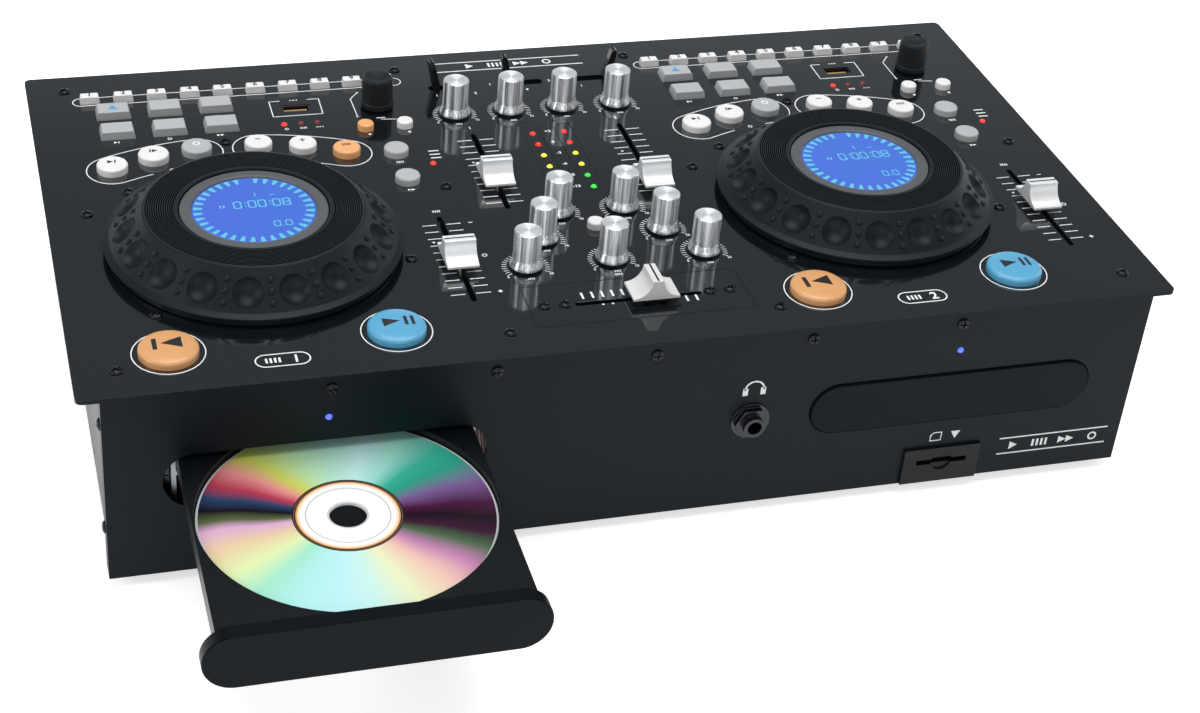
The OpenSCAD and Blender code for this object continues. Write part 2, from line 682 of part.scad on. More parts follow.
module display_posts() color("#5f6165") place() for (side = [0, 1]) deck(side)
    translate([jog_px, jog_py, 0]) rotate_extrude($fn = 128) polygon([
        [display_r - 3, 0], [display_r + 5, 0], [display_r + 5, flange_h], [display_r, flange_h],
        [display_r, jog_h - 1.1], [display_r - 0.4, jog_h - 0.7], [window_r, jog_h - 0.7],
        [window_r, jog_h - 2.1], [0, jog_h - 2.1], [0, jog_h - 3.6], [display_r - 3, jog_h - 3.6]
    ]);

module display_screens() color("#4a7fe0") place() for (side = [0, 1]) deck(side)
    translate([jog_px, jog_py, jog_h - 2.1]) cylinder(r = window_r - 0.1, h = 0.6, $fn = 96);

// ---------------------------------------------------------------- keys
// a round key on its stem, its edge eased
module round_key(d, h) rotate_extrude() polygon([
    [0, web_top - eps], [d / 2, web_top - eps], [d / 2, h - 1], [d / 2 - 0.35, h - 0.35],
    [d / 2 - 1, h], [0, h]]);

// a key with four straight sides that lean in towards the top
module block_key(w, d, h, lean) {
    translate([0, d / 2, 0]) rotate([90, 0, 0]) linear_extrude(d) polygon([
        [-w / 2, web_top - eps], [w / 2, web_top - eps], [w / 2, 0.6], [w / 2 - lean, h - 0.4],
        [w / 2 - lean - 0.4, h], [-w / 2 + lean + 0.4, h], [-w / 2 + lean, h - 0.4], [-w / 2, 0.6]]);
}

module bar(a, b) span([a[0], a[1], web_top - web_t], [b[0], b[1], web_top]);

module track_keys(side) color("#e8e9ea") place() deck(side) {
    bar([track_x - 3, track_y - 2], [track_x + 9 * track_step + 3, track_y + 2]);
    for (i = [0:9]) translate([track_x + i * track_step, track_y, 0])
        block_key(track_key_w, track_key_d, key_h, 0.4);
}

module function_keys(side) color("#a9abad") place() deck(side) {
    bar([function_x[0] - 6, function_y[1] - 3.5], [function_x[2] + 6, function_y[0] + 3.5]);
    for (x = function_x, y = function_y) translate([x, y, 0])
        block_key(function_key_w, function_key_d, key_h + 0.4, 0.7);
}

// the three keys of one half of the arc
module arc_keys(side, half, d) place() deck(side) {
    a0 = 90 + half * arc_first;
    a1 = 90 + half * (arc_first + 2 * arc_step);
    translate([arc_centre[0], arc_centre[1], web_top - web_t]) rotate(min(a0, a1))
        rotate_extrude(angle = abs(a1 - a0), $fn = 128)
            translate([key_arc_r - 2.5, 0]) square([5, web_t]);
    for (i = [0:2]) translate(concat(arc_key(i, half), 0)) round_key(d, key_h);
}

module loop_keys(side) color("#f0f0f0") arc_keys(side, 1, loop_key_d);
module bend_keys(side) color("#f0f0f0") arc_keys(side, -1, bend_key_d);

module mode_keys(side) color("#a9abad") place() deck(side) {
    bar([mode_pos[0][0] - 2.5, mode_pos[1][1] - 2], [mode_pos[0][0] + 2.5, effect_pos[0][1] + 2]);
    bar([effect_pos[0][0] - 2, effect_pos[0][1] - 2], [effect_pos[1][0] + 2, effect_pos[0][1] + 2]);
    for (p = mode_pos) translate(concat(p, 0)) round_key(mode_key_d, key_h);
    for (p = effect_pos) translate(concat(p, 0)) round_key(effect_key_d, key_h);
}

// a cue or play key, its face gently domed
module big_key(side, x) place() deck(side) translate([x, big_key_y, 0]) rotate_extrude()
    polygon(concat([[0, web_top - web_t], [big_key_d / 2, web_top - web_t],
        [big_key_d / 2, big_key_h - 1.9]],
        [for (a = [15:15:75]) [big_key_d / 2 - 1.3 + 1.3 * cos(a), big_key_h - 1.9 + 1.3 * sin(a)]],
        [[big_key_d / 2 - 1.3, big_key_h - 0.6], [big_key_d / 4, big_key_h - 0.15],
        [0, big_key_h]]));

module cue_key(side) color("#f2a65a") big_key(side, cue_x);
module play_key(side) color("#6cc4f0") big_key(side, play_x);

module fader_start_key() color("#f0f0f0") place() translate(concat(start_key_pos, 0)) {
    round_key(start_key_d, key_h);
    translate([0, 0, web_top - web_t]) cylinder(r = start_key_d / 2 + 1, h = web_t);
}

// ---------------------------------------------------------------- knobs
module shaft(top) translate([0, 0, board_top + 2 + gap]) {
    cylinder(r = shaft_d / 2, h = top - board_top - 2 - gap);
}

// a turned grip with a flared skirt, hollow underneath over the bush and its nut
module mixer_knob(x, y) color("#c4c7ca") place() translate([x, y, 0]) {
    shaft(knob_h - 4);
    rotate_extrude() polygon([
        [shaft_d / 2 - eps, 3], [knob_skirt_d / 2 - 1.6, 3], [knob_skirt_d / 2 - 1.6, 1.2],
        [knob_skirt_d / 2 - 0.3, 1.2], [knob_skirt_d / 2, 1.5], [knob_skirt_d / 2, 2.6],
        [knob_d / 2 + 0.15, 5.6], [knob_d / 2, knob_h - 0.4], [knob_d / 2 - 0.4, knob_h],
        [0, knob_h], [0, knob_h - 5], [shaft_d / 2 - eps, knob_h - 5]]);
}

module browse_knob(side) color("#141517") place() deck(side) translate(concat(browse_pos, 0)) {
    shaft(browse_h - 4);
    rotate_extrude() polygon([
        [shaft_d / 2 - eps, 3], [browse_d / 2 - 1, 3], [browse_d / 2 - 1, 1],
        [browse_d / 2 + 0.3, 1], [browse_d / 2 + 0.4, 3.5], [browse_d / 2, 6],
        [browse_d / 2 - 0.3, browse_h - 0.8], [browse_d / 2 - 1.1, browse_h],
        [browse_d / 2 - 2, browse_h], [browse_d / 4, browse_h - 0.9], [0, browse_h - 1.2],
        [0, browse_h - 5], [shaft_d / 2 - eps, browse_h - 5]]);
}

// ---------------------------------------------------------------- faders
cap_ridge = 5.9;
cap_foot = 1.4;

// a cap with a ridge across it and a hollow flank on each side; travel runs along y
module fader_cap() {
    flank = cap_l / 2 - cap_ridge / 2;
    rise = cap_top - cap_gap - cap_foot;
    curve = [for (a = [0:15:90]) [flank * (1 - sin(a)), rise * (1 - cos(a))]];
    right = [for (p = curve) [cap_ridge / 2 + p[0], cap_gap + cap_foot + p[1]]];
    left = [for (i = [len(right) - 1:-1:0]) [-right[i][0], right[i][1]]];
    translate([-cap_w / 2, 0, 0]) rotate([90, 0, 90]) linear_extrude(cap_w)
        polygon(concat([[-cap_l / 2, cap_gap], [cap_l / 2, cap_gap]], right, left));
    span([-stem_w / 2, -stem_l / 2, board_top + 2 + gap], [stem_w / 2, stem_l / 2, cap_gap + eps]);
}

module pitch_fader(side) color("#c9cbcd") place() deck(side)
    translate([pitch_slot_x, pitch_mid_y + pitch_rest[side], 0]) fader_cap();

module channel_fader(side) color("#c9cbcd") place()
    translate([mixer_x + (2 * side - 1) * channel_off, channel_mid_y + channel_rest[side], 0])
        fader_cap();

module crossfader() color("#c9cbcd") place()
    translate([mixer_x + 0.8 + cross_rest, cross_y, 0]) rotate(90) fader_cap();

// ---------------------------------------------------------------- switches
lever_w = switch_slot[1] - 2 * gap;
lever_l = (lever_h - lever_pivot) / cos(lever_lean);

// a lever that leans to one side of its slot at rest
module lever(place_no, lean) color("#131416") place()
    translate([mixer_x + place_no * switch_off, switch_y, lever_pivot]) rotate([0, lean, 0])
        difference() {
            union() {
                rotate([90, 0, 0]) cylinder(r = 2.6, h = lever_w, center = true);
                translate([0, lever_w / 2, 0]) rotate([90, 0, 0]) linear_extrude(lever_w)
                    polygon([[-1.4, 0], [1.4, 0], [1.9, lever_l - 13], [1.5, lever_l - 2],
                        [0.9, lever_l - 0.4], [0, lever_l], [-0.9, lever_l - 0.4],
                        [-1.5, lever_l - 2], [-1.9, lever_l - 13]]);
            }
            rotate([90, 0, 0]) cylinder(r = 1 + shaft_gap, h = 6, center = true);
        }

module source_switch_1() lever(-1, -lever_lean);
module cue_switch() lever(0, -lever_lean);
module source_switch_2() lever(1, lever_lean);

// the rocker turns on a pin along x
module power_switch() color("#101113") place()
    translate([rocker_x, back_y + 0.6, inlet_z]) difference() {
        rotate([90, 0, 90]) translate([0, 0, -rocker_size[0] / 2 + gap])
            linear_extrude(rocker_size[0] - 2 * gap) polygon([
                [1.4, -rocker_size[1] / 2 + 1.2], [2.6, rocker_size[1] / 2 - 1.4],
                [-1, rocker_size[1] / 2 - 1.2], [-6, 2.4], [-8, 0], [-6, -2.4],
                [-3, -rocker_size[1] / 2 + 1.2]]);
        translate([0, -5, 0]) rotate([0, 90, 0])
            cylinder(r = 1 + shaft_gap, h = rocker_size[0] + 2, center = true);
    }

// ---------------------------------------------------------------- jacks, sockets and lamps
// a jack with its bush through the wall at y = 0 and its body behind it, mouth towards -y
module jack(proud, wall) rotate([-90, 0, 0]) difference() {
    union() {
        translate([0, 0, -proud]) cylinder(r = 4.9, h = proud + wall + 1);
        translate([0, 0, -0.8]) cylinder(r = washer_r, h = 0.8);
        translate([0, 0, -3.5]) cylinder(r = nut_r, h = 2.8, $fn = 6);
        translate([0, 0, wall]) linear_extrude(20) square([15, 15], center = true);
    }
    translate([0, 0, -proud - 1]) cylinder(d = jack_hole_d, h = proud + wall + 17);
}

module headphone_jack() color("#1a1b1d") place()
    translate([phones_pos[0], front_inset, phones_pos[1]]) jack(6.5, front_t);

module card_slot() translate([card_x, front_inset, card_z]) difference() {
    union() {
        through_y(0, 0, -card_proud, 0) square(card_size, center = true);
        through_y(0, 2, -eps, 26) square([27.6, 8.6], center = true);
    }
    through_y(0, 2, -card_proud - 1, 22) square([24.6, 2.6], center = true);
    translate([0, -card_proud - 1, 2]) rotate([-90, 0, 0]) cylinder(r = 5, h = 2);
}

module usb_socket() translate([usb_pos[0], usb_pos[1], 0]) {
    difference() {
        span([-6.6, -2.9, board_top], [6.6, 2.9, -0.4]);
        span([-6.2, -2.5, board_top + 1], [6.2, 2.5, 1]);
    }
    span([-5.6, 0.2, board_top + 0.9], [5.6, 1.9, -2]);
}

module media_sockets() color("#8b8f94") place() {
    for (side = [0, 1]) deck(side) usb_socket();
    card_slot();
}

module lamp() {
    cylinder(r = lamp_r, h = -0.6 - board_top);
    translate([0, 0, -0.6 - board_top]) sphere(r = lamp_r, $fn = 32);
}

module indicator_lamps() color("#c02020") place() {
    for (side = [0, 1]) deck(side) {
        for (p = concat(status_lamps, [mode_lamp])) translate([p[0], p[1], board_top]) lamp();
        translate([tray_px, drive_front, -22]) rotate([90, 0, 0])
            cylinder(r = lamp_r, h = drive_front - front_inset + 0.6);
    }
    for (s = [-1, 1], i = [0:5])
        translate([mixer_x + s * meter_off, meter_y - i * meter_step, board_top]) lamp();
}

// sockets in the back wall, mouths towards +y
module rear_sockets() color("#2a2b2d") place() {
    // mains inlet with its three pins
    translate([inlet_x, back_y, inlet_z]) {
        difference() {
            union() {
                span([-inlet_size[0] / 2 + 0.2, -18, -inlet_size[1] / 2 + 0.2],
                    [inlet_size[0] / 2 - 0.2, eps, inlet_size[1] / 2 - 0.2]);
                span([-inlet_size[0] / 2 - 3, 0, -inlet_size[1] / 2 - 3],
                    [inlet_size[0] / 2 + 3, 2, inlet_size[1] / 2 + 3]);
            }
            span([-12, -15, -8], [12, 3, 8]);
        }
        for (p = [[-7, 0], [0, 4.5], [7, 0]])
            span([p[0] - 1, -16, p[1] - 2], [p[0] + 1, -4, p[1] + 2]);
    }
    // frame of the power switch, with the pin the rocker turns on
    translate([rocker_x, back_y, inlet_z]) {
        difference() {
            union() {
                span([-rocker_size[0] / 2 - 1, -10, -rocker_size[1] / 2 - 1],
                    [rocker_size[0] / 2 + 1, eps, rocker_size[1] / 2 + 1]);
                span([-rocker_size[0] / 2 - 2.5, 0, -rocker_size[1] / 2 - 2.5],
                    [rocker_size[0] / 2 + 2.5, 1.2, rocker_size[1] / 2 + 2.5]);
            }
            span([-rocker_size[0] / 2, -9, -rocker_size[1] / 2],
                [rocker_size[0] / 2, 3, rocker_size[1] / 2]);
        }
        translate([0, -4.4, 0]) rotate([0, 90, 0])
            cylinder(r = 1, h = rocker_size[0] + 0.4, center = true);
    }
    // microphone jack and the phono sockets
    translate([mic_x, back_y, mic_z]) rotate([0, 0, 180]) jack(3.4, sheet_t);
    for (x = phono_x, z = phono_z) translate([x, back_y, z]) rotate([-90, 0, 0]) difference() {
        union() {
            translate([0, 0, -8]) cylinder(d = phono_d - 1, h = 9);
            cylinder(d = phono_d, h = phono_l);
        }
        translate([0, 0, phono_l - 7]) cylinder(d = phono_d - 1.6, h = 10);
    }
    for (x = phono_x) span([x - 7, back_y - 12, phono_z[1] - 7], [x + 7, back_y - 7.9, phono_z[0] + 7]);
}

top_panel();
front_panel();
chassis();
rubber_feet();
case_screws();
crossfader_plate();
deck_boards();
mixer_board();
power_supply();
disc_drives();
display_posts();
display_screens();
headphone_jack();
media_sockets();
indicator_lamps();
rear_sockets();
jog_wheel(0);  // jog_wheel_left
jog_wheel(1);  // jog_wheel_right
tray(0, -tray_travel);  // tray_left
tray(1, 0);  // tray_right
tray_door(0, -tray_travel);  // tray_door_left
tray_door(1, 0);  // tray_door_right
disc();
mixer_knob(mixer_x - gain_off, row_y);  // gain_knob_1
mixer_knob(mixer_x + gain_off, row_y);  // gain_knob_2
mixer_knob(mixer_x - inner_off, row_y);  // mic_knob
mixer_knob(mixer_x + inner_off, row_y);  // cue_level_knob
mixer_knob(mixer_x - high_pos[0], high_pos[1]);  // high_knob_1
mixer_knob(mixer_x + high_pos[0], high_pos[1]);  // high_knob_2
mixer_knob(mixer_x - mid_pos[0], mid_pos[1]);  // mid_knob_1
mixer_knob(mixer_x + mid_pos[0], mid_pos[1]);  // mid_knob_2
mixer_knob(mixer_x - low_pos[0], low_pos[1]);  // low_knob_1
mixer_knob(mixer_x + low_pos[0], low_pos[1]);  // low_knob_2
mixer_knob(mixer_x - 2, low_pos[1]);  // master_knob
browse_knob(0);  // browse_knob_left
browse_knob(1);  // browse_knob_right
pitch_fader(0);  // pitch_fader_left
pitch_fader(1);  // pitch_fader_right
channel_fader(0);  // channel_fader_1
channel_fader(1);  // channel_fader_2
crossfader();
source_switch_1();
cue_switch();
source_switch_2();
cue_key(0);  // cue_key_left
cue_key(1);  // cue_key_right
play_key(0);  // play_key_left
play_key(1);  // play_key_right
track_keys(0);  // track_keys_left
track_keys(1);  // track_keys_right
function_keys(0);  // function_keys_left
function_keys(1);  // function_keys_right
loop_keys(0);  // loop_keys_left
loop_keys(1);  // loop_keys_right
bend_keys(0);  // bend_keys_left
bend_keys(1);  // bend_keys_right
mode_keys(0);  // mode_keys_left
mode_keys(1);  // mode_keys_right
fader_start_key();
power_switch();
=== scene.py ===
"""Tabletop twin disc player with a built-in mixer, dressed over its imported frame."""
import math
import random

import bpy
from bpy.props import FloatProperty, FloatVectorProperty, IntProperty, PointerProperty
from mathutils import Matrix, Vector


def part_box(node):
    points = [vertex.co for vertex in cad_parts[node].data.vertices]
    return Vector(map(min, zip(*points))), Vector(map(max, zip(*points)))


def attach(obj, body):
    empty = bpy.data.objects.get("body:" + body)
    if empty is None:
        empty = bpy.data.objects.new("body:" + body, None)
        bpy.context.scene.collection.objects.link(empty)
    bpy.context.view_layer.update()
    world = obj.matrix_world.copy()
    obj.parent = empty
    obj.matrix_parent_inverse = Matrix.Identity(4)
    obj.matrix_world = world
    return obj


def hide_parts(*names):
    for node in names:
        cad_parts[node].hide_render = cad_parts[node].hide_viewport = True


bl_info = {
    "name": "Twin disc player",
    "version": (1, 0, 0),
    "blender": (4, 5, 0),
    "location": "View3D > Sidebar > Player",
    "description": "Builds the visible pieces of a tabletop twin disc player with a mixer",
    "category": "Object",
}

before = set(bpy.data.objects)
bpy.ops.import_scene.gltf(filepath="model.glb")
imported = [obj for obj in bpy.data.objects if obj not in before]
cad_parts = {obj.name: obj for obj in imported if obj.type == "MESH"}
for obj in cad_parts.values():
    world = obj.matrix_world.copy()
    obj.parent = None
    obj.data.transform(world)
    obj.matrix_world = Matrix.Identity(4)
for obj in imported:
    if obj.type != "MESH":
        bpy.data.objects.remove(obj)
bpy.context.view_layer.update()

MM = 0.001
LOW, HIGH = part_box("top_panel")
CORNER = Vector((LOW.x, LOW.y, HIGH.z))
PANEL_W, PANEL_D = (HIGH.x - LOW.x) / MM, (HIGH.y - LOW.y) / MM


def at(x, y, z=0.0):
    """A point given in mm from the top panel's front left corner."""
    return CORNER + Vector((x, y, z)) * MM


def box(node):
    """The lowest and highest corners of a frame node, in mm from the panel's corner."""
    return [(v - CORNER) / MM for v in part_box(node)]


def middle(node):
    """The middle of a frame node across and along the panel."""
    low, high = box(node)
    return (low.x + high.x) / 2, (low.y + high.y) / 2


# from one deck to the other, and how far right each deck stands
PITCH = box("jog_wheel_right")[0].x - box("jog_wheel_left")[0].x
SIDES = {"left": 0.0, "right": PITCH}
# the mixer's middle line
MIXER = PANEL_W / 2 - 0.9
BACK_WALL = box("chassis")[1].y
# heights of the circuit boards' tops, the power supply's over its own lowest pins
BOARD_TOP, SUPPLY_TOP = -13.0, box("power_supply")[0].z + 7.6
CARD_SLOT_TOP = -60
# the small socket on a deck, the source and mode lamps beside it, and the phono sockets
DECK_SOCKET = (125, 220.3)
SOURCE_LAMPS, SOURCE_LAMPS_Y = (116.7, 124.7, 132.7), 204.9
MODE_LAMP = (179, 158.8)
PHONO_X, PHONO_Z = (300, 322, 344, 366), (-45, -62)
METER_STEP = 10.4
# middle of the disc's underside
DISC = at(*middle("disc"), box("disc")[0].z)
# radii of the disc, and of its mirror's inner and outer edge
DISC_R = 60
MIRROR_FROM, MIRROR_TO = 22.2, 58.9
# the loop and speed keys of a deck stand on one arc: its centre, radius and angles
KEY_ARC = (86.9, 55.8, 130.6)
ARC_ANGLES = (6.3, 15.4, 24.5)
KNOBS = ("gain_knob_1", "gain_knob_2", "mic_knob", "cue_level_knob", "high_knob_1",
         "high_knob_2", "mid_knob_1", "mid_knob_2", "low_knob_1", "low_knob_2", "master_knob")


def linear(text):
    """The linear colour of an sRGB hex value."""
    parts = [int(text[i:i + 2], 16) / 255 for i in (1, 3, 5)]
    return tuple(p / 12.92 if p <= 0.04045 else ((p + 0.055) / 1.055) ** 2.4 for p in parts)


# ------------------------------------------------------------------ sizes and colours
def length(name, about, value):
    """A size in metres that a user may change."""
    return FloatProperty(name=name, description=about, default=value, min=0.0, unit="LENGTH",
                         subtype="DISTANCE")


def count(name, about, value, low, high):
    """A number of like things, between low and high."""
    return IntProperty(name=name, description=about, default=value, min=low, max=high)


def colour(name, about, text):
    """A colour that a user may change."""
    return FloatVectorProperty(name=name, description=about, default=linear(text), size=3,
                               min=0.0, max=1.0, subtype="COLOR")


class PlayerSizes(bpy.types.PropertyGroup):
    print_line: length("Printed line", "Width of the printed lines round the keys", 0.0005)
    tick_line: length("Printed tick", "Width of the printed tick lines", 0.0005)
    screw_head: length("Screw head", "Radius of a screw's head", 0.00275)
    bump: length("Grip bump", "Radius of the bumps between the finger dimples", 0.0014)
    grooves: count("Grooves", "Grooves in a jog wheel's top ring", 13, 3, 20)
    dimples: count("Dimples", "Finger dimples round a jog wheel", 18, 6, 24)
    flutes: count("Flutes", "Grip ribs round a browse knob", 24, 8, 40)


class PlayerColours(bpy.types.PropertyGroup):
    panel: colour("Top panel", "Gloss black enamel of the top panel", "#0e1418")
    front: colour("Case", "Black powder coat of the front and the case", "#0f171d")
    jog: colour("Jog wheels", "Rubberised black of the jog wheels", "#0f161b")
    ink: colour("Print", "White ink on the panel", "#eef0f0")
    cue: colour("Cue keys", "Lit orange of the cue keys", "#d09a66")
    play: colour("Play keys", "Lit blue of the play keys", "#559fc4")
    key_white: colour("White keys", "Moulded white keys", "#e8e8e8")
    key_grey: colour("Grey keys", "Moulded grey keys", "#b1b3b5")
    bezel: colour("Bezels", "Grey frames of the displays", "#505357")
    screen: colour("Displays", "Blue light of the displays", "#3f6fd8")
    segments: colour("Display marks", "Light marks on the displays", "#56aecb")
    floor: colour("Floor", "Pale studio floor", "#f2f2f2")


def sized():
    """The sizes in use."""
    return bpy.context.scene.player_sizes


def tinted():
    """The colours in use."""
    return bpy.context.scene.player_colours


# ------------------------------------------------------------------ material building
def rgba(c):
    """A linear colour or an sRGB hex value with full alpha."""
    return (*(linear(c) if isinstance(c, str) else c), 1.0)


def shade(c, k):
    """A linear colour k times as bright."""
    return tuple(min(1.0, v * k) for v in c)


def put(mat, socket, value):
    """Link an input to an output socket, or set it to any other value."""
    if isinstance(value, bpy.types.NodeSocket):
        mat.node_tree.links.new(value, socket)
    else:
        socket.default_value = value


def add(mat, kind, inputs=(), stops=(), blend="LINEAR", **settings):
    """Add a node and fill its inputs; a ramp's stops are places with a colour or a grey level."""
    n = mat.node_tree.nodes.new("ShaderNode" + kind)
    for key, value in settings.items():
        setattr(n, key, value)
    for key, value in dict(inputs).items():
        put(mat, n.inputs[key], value)
    if stops:
        n.color_ramp.interpolation = blend
        points = n.color_ramp.elements
        while len(points) < len(stops):
            points.new(1.0)
        for point, (where, tone) in zip(points, stops):
            point.position = where
        for point, (where, tone) in zip(points, stops):
            point.color = rgba(tone if isinstance(tone, str) else (tone,) * 3)
    return n


def feed(mat, **values):
    """Fill the shader's inputs by their names, with _ for the spaces."""
    for key, value in values.items():
        name = key.replace("_", " ").title().replace("Ior", "IOR")
        put(mat, mat.node_tree.nodes["Principled BSDF"].inputs[name], value)


def blank(name):
    """A new material, and its object coordinates."""
    mat = bpy.data.materials.new(name)
    mat.use_nodes = True
    return mat, add(mat, "TexCoord").outputs["Object"]


def surface(name, base, rough, metal=0.0, grain=0.3, depth=0.004, mottle=0.08, cloud=25.0,
            spread=0.06, **sockets):
    """A finish with fine grain and slow variation.

    grain is the grain's size and depth its height in mm, cloud is the size in mm of the slow
    variation, by which the colour changes by mottle and the roughness by spread.
    """
    mat, where = blank(name)
    base = linear(base) if isinstance(base, str) else base
    slow = add(mat, "TexNoise", {"Vector": where, "Scale": 1000.0 / cloud, "Detail": 3.0})
    slow = slow.outputs["Fac"]
    tone = add(mat, "Mix", {0: slow, 6: rgba(shade(base, 1 - mottle)),
                            7: rgba(shade(base, 1 + mottle))}, data_type="RGBA")
    gloss = add(mat, "MapRange", {"Value": slow, "To Min": max(0.02, rough - spread),
                                  "To Max": rough + spread})
    fine = add(mat, "TexNoise", {"Vector": where, "Scale": 1000.0 / grain, "Detail": 2.0})
    relief = add(mat, "Bump", {"Height": fine.outputs["Fac"], "Distance": depth * MM,
                               "Strength": 1.0})
    feed(mat, base_color=tone.outputs[2], metallic=metal, roughness=gloss.outputs["Result"],
         normal=relief.outputs["Normal"], **sockets)
    return mat


# the finishes, and the slot of the record that each one stands for
MATS, SLOTS = {}, {}


def make_materials(c):
    """The finishes, each named for what the real one is."""
    def finish(key, slot, *look, make=surface, **more):
        MATS[key], SLOTS[key] = make(*look, **more), slot

    # baked enamel on sheet steel: deep black, near mirror, with a trace of orange peel
    finish("panel", "panel", "baked_enamel", c.panel, 0.08, grain=1.6, depth=0.0005, mottle=0.05,
           cloud=60, spread=0.02, ior=2.1)
    # powder coat on folded steel: satin black with a fine pebble
    finish("front", "case_paint", "powder_coat", c.front, 0.42, grain=0.45, depth=0.012,
           mottle=0.06, cloud=40, specular_ior_level=0.12)
    # zinc passivated chassis sheet, painted black outside: even, with a low shine
    finish("chassis", "case_paint", "painted_chassis_sheet", c.front, 0.38, grain=0.6,
           depth=0.01, specular_ior_level=0.3)
    # rubberised coating on moulded ABS: soft dark grey with a dusty sheen
    finish("jog", "jog_plastic", "rubberised_abs", c.jog, 0.46, grain=0.35, depth=0.006,
           mottle=0.12, cloud=14, specular_ior_level=0.2)
    # painted shade: the grooves are given a near black for the shadow that falls in them
    finish("groove", "jog_plastic", "groove_black", "#05070a", 0.6, specular_ior_level=0.08)
    # the lands between them are the bare moulding, rubbed a little lighter by the fingers
    finish("land", "jog_plastic", "rubbed_abs", "#1b2328", 0.36, mottle=0.1, cloud=10,
           specular_ior_level=0.3)
    # black oxide on steel screws: dark and slightly glossy
    finish("screw", "black_steel", "black_oxide_steel", "#232427", 0.27, metal=0.75, mottle=0.2,
           cloud=3)
    # screen printed ink: flat white with slightly uneven cover
    finish("ink", "key_white", "screen_print_ink", c.ink, 0.55, mottle=0.04, cloud=4)
    # pad printed ink of the keys: flat, not quite black
    finish("dark_ink", "black_plastic", "dark_print_ink", "#17181b", 0.5, cloud=4)
    # pad printed ink on the grey keys: flat clear blue
    finish("blue_ink", "key_blue", "blue_print_ink", "#4d9fd0", 0.5, cloud=4)
    # white ABS keys, satin from the spark eroded tool, that let in a little light
    finish("key_white", "key_white", "satin_white_abs", c.key_white, 0.38, grain=0.25,
           depth=0.003, mottle=0.03, cloud=6, subsurface_weight=0.08, subsurface_scale=0.002)
    # grey ABS keys from the same kind of tool: satin and closed to light
    finish("key_grey", "key_grey", "satin_grey_abs", c.key_grey, 0.4, grain=0.25, mottle=0.03,
           cloud=6)
    # translucent keys lit from below: the light pools in the middle of the dome
    for key, slot, name, base, rough, cloud, light, strength in (
            ("cue", "key_orange", "lit_orange_acrylic", c.cue, 0.3, 8, c.cue, 0.1),
            ("play", "key_blue", "lit_blue_acrylic", c.play, 0.3, 8, c.play, 0.1),
            ("pale_orange", "key_orange", "lit_pale_orange_acrylic", "#e3a770", 0.34, 5,
             "#ff9a4a", 0.07)):
        finish(key, slot, name, base, rough, depth=0.002, mottle=0.03, cloud=cloud,
               emission_color=rgba(light), emission_strength=strength)
    # moulded frame round a display: satin grey
    finish("bezel", "grey_plastic", "satin_grey_bezel", c.bezel, 0.42, mottle=0.04)
    # liquid crystal marks lit through the glass: pale blue with a weak glow
    finish("segments", "screen", "display_marks", c.segments, 0.5, grain=0.4, depth=0.0005,
           mottle=0.05, cloud=5, emission_color=rgba(c.segments), emission_strength=0.2)
    finish("screen", "screen", c, make=display_glass)
    # grips turned on the lathe: bright streaks along the axis, from the lamps and partly painted
    # into the colour
    finish("metal", "turned_metal", "turned_aluminium", 0.33, 1.0, 0.02, 1.0, "#bfc1c4",
           "#ffffff", make=turned_aluminium)
    # the tops are faced off on the lathe, so they spread the light wider than the grips
    finish("spun", "turned_metal", "faced_aluminium", 0.5, 0.8, 1.0, 0.6, "#d6d7d9", "#e9eaeb",
           make=turned_aluminium)
    # jack and nut: black nickel plating, dark but bright at its edges
    finish("black_nickel", "black_metal", "black_nickel", "#3b3d41", 0.22, metal=0.9, grain=0.4,
           depth=0.002, mottle=0.1, cloud=4)
    # silver lacquer on moulded fader caps: pale, with a soft metal gleam
    finish("cap", "silver_plastic", "silver_lacquer", "#f0f1f2", 0.3, metal=0.25, depth=0.002,
           mottle=0.04, cloud=8)
    # the crossfader's cap has a matt lacquer and a wider, weaker gleam
    finish("matt_cap", "silver_plastic", "matt_silver_lacquer", "#dededf", 0.45, metal=0.2,
           mottle=0.04, cloud=8)
    # feet and grips: dull black, a little blue from its filler
    finish("rubber", "rubber", "moulded_rubber", "#101418", 0.55, depth=0.01,
           specular_ior_level=0.3)
    # moulded ABS of switches and sockets: plain dull black
    finish("black", "black_plastic", "moulded_black_abs", "#121417", 0.4, depth=0.008,
           specular_ior_level=0.2)
    # levers from a polished tool: glossy black
    finish("gloss_black", "black_plastic", "gloss_black_abs", "#0c0d0f", 0.16, grain=0.6,
           depth=0.002)
    # tray moulding: dark satin ABS with a fine spark texture
    finish("tray", "tray_plastic", "satin_tray_abs", "#0c1013", 0.36, depth=0.006, mottle=0.05,
           specular_ior_level=0.2)
    # the tray's door is painted to match the front: satin, a little bluer
    finish("door", "tray_plastic", "painted_door_abs", "#0a1116", 0.34, grain=0.4, mottle=0.05,
           specular_ior_level=0.08)
    # nickel plated steel of socket shells: bright, with faint drawing marks
    finish("nickel", "socket_metal", "nickel_plated_steel", "#b5b8bb", 0.25, metal=1.0,
           grain=0.5, depth=0.002, mottle=0.06, cloud=6)
    # zinc plated steel of the drives: greyer, with coarser rolling marks
    finish("zinc", "drive_frame", "zinc_plated_steel", "#9a9ea2", 0.36, metal=1.0, grain=1.5,
           mottle=0.12, cloud=18)
    # circuit board: green solder mask over the weave of glass cloth
    finish("board", "circuit_board", "solder_mask", "#0f2a1b", 0.35, grain=0.8, depth=0.01,
           mottle=0.15, cloud=12)
    # moulded nylon, the contact carrier of a socket: plain tan
    finish("tongue", "socket_metal", "tan_nylon", "#b08a5a", 0.5)
    finish("ribbon", "grey_plastic", make=ribbon_stripes)
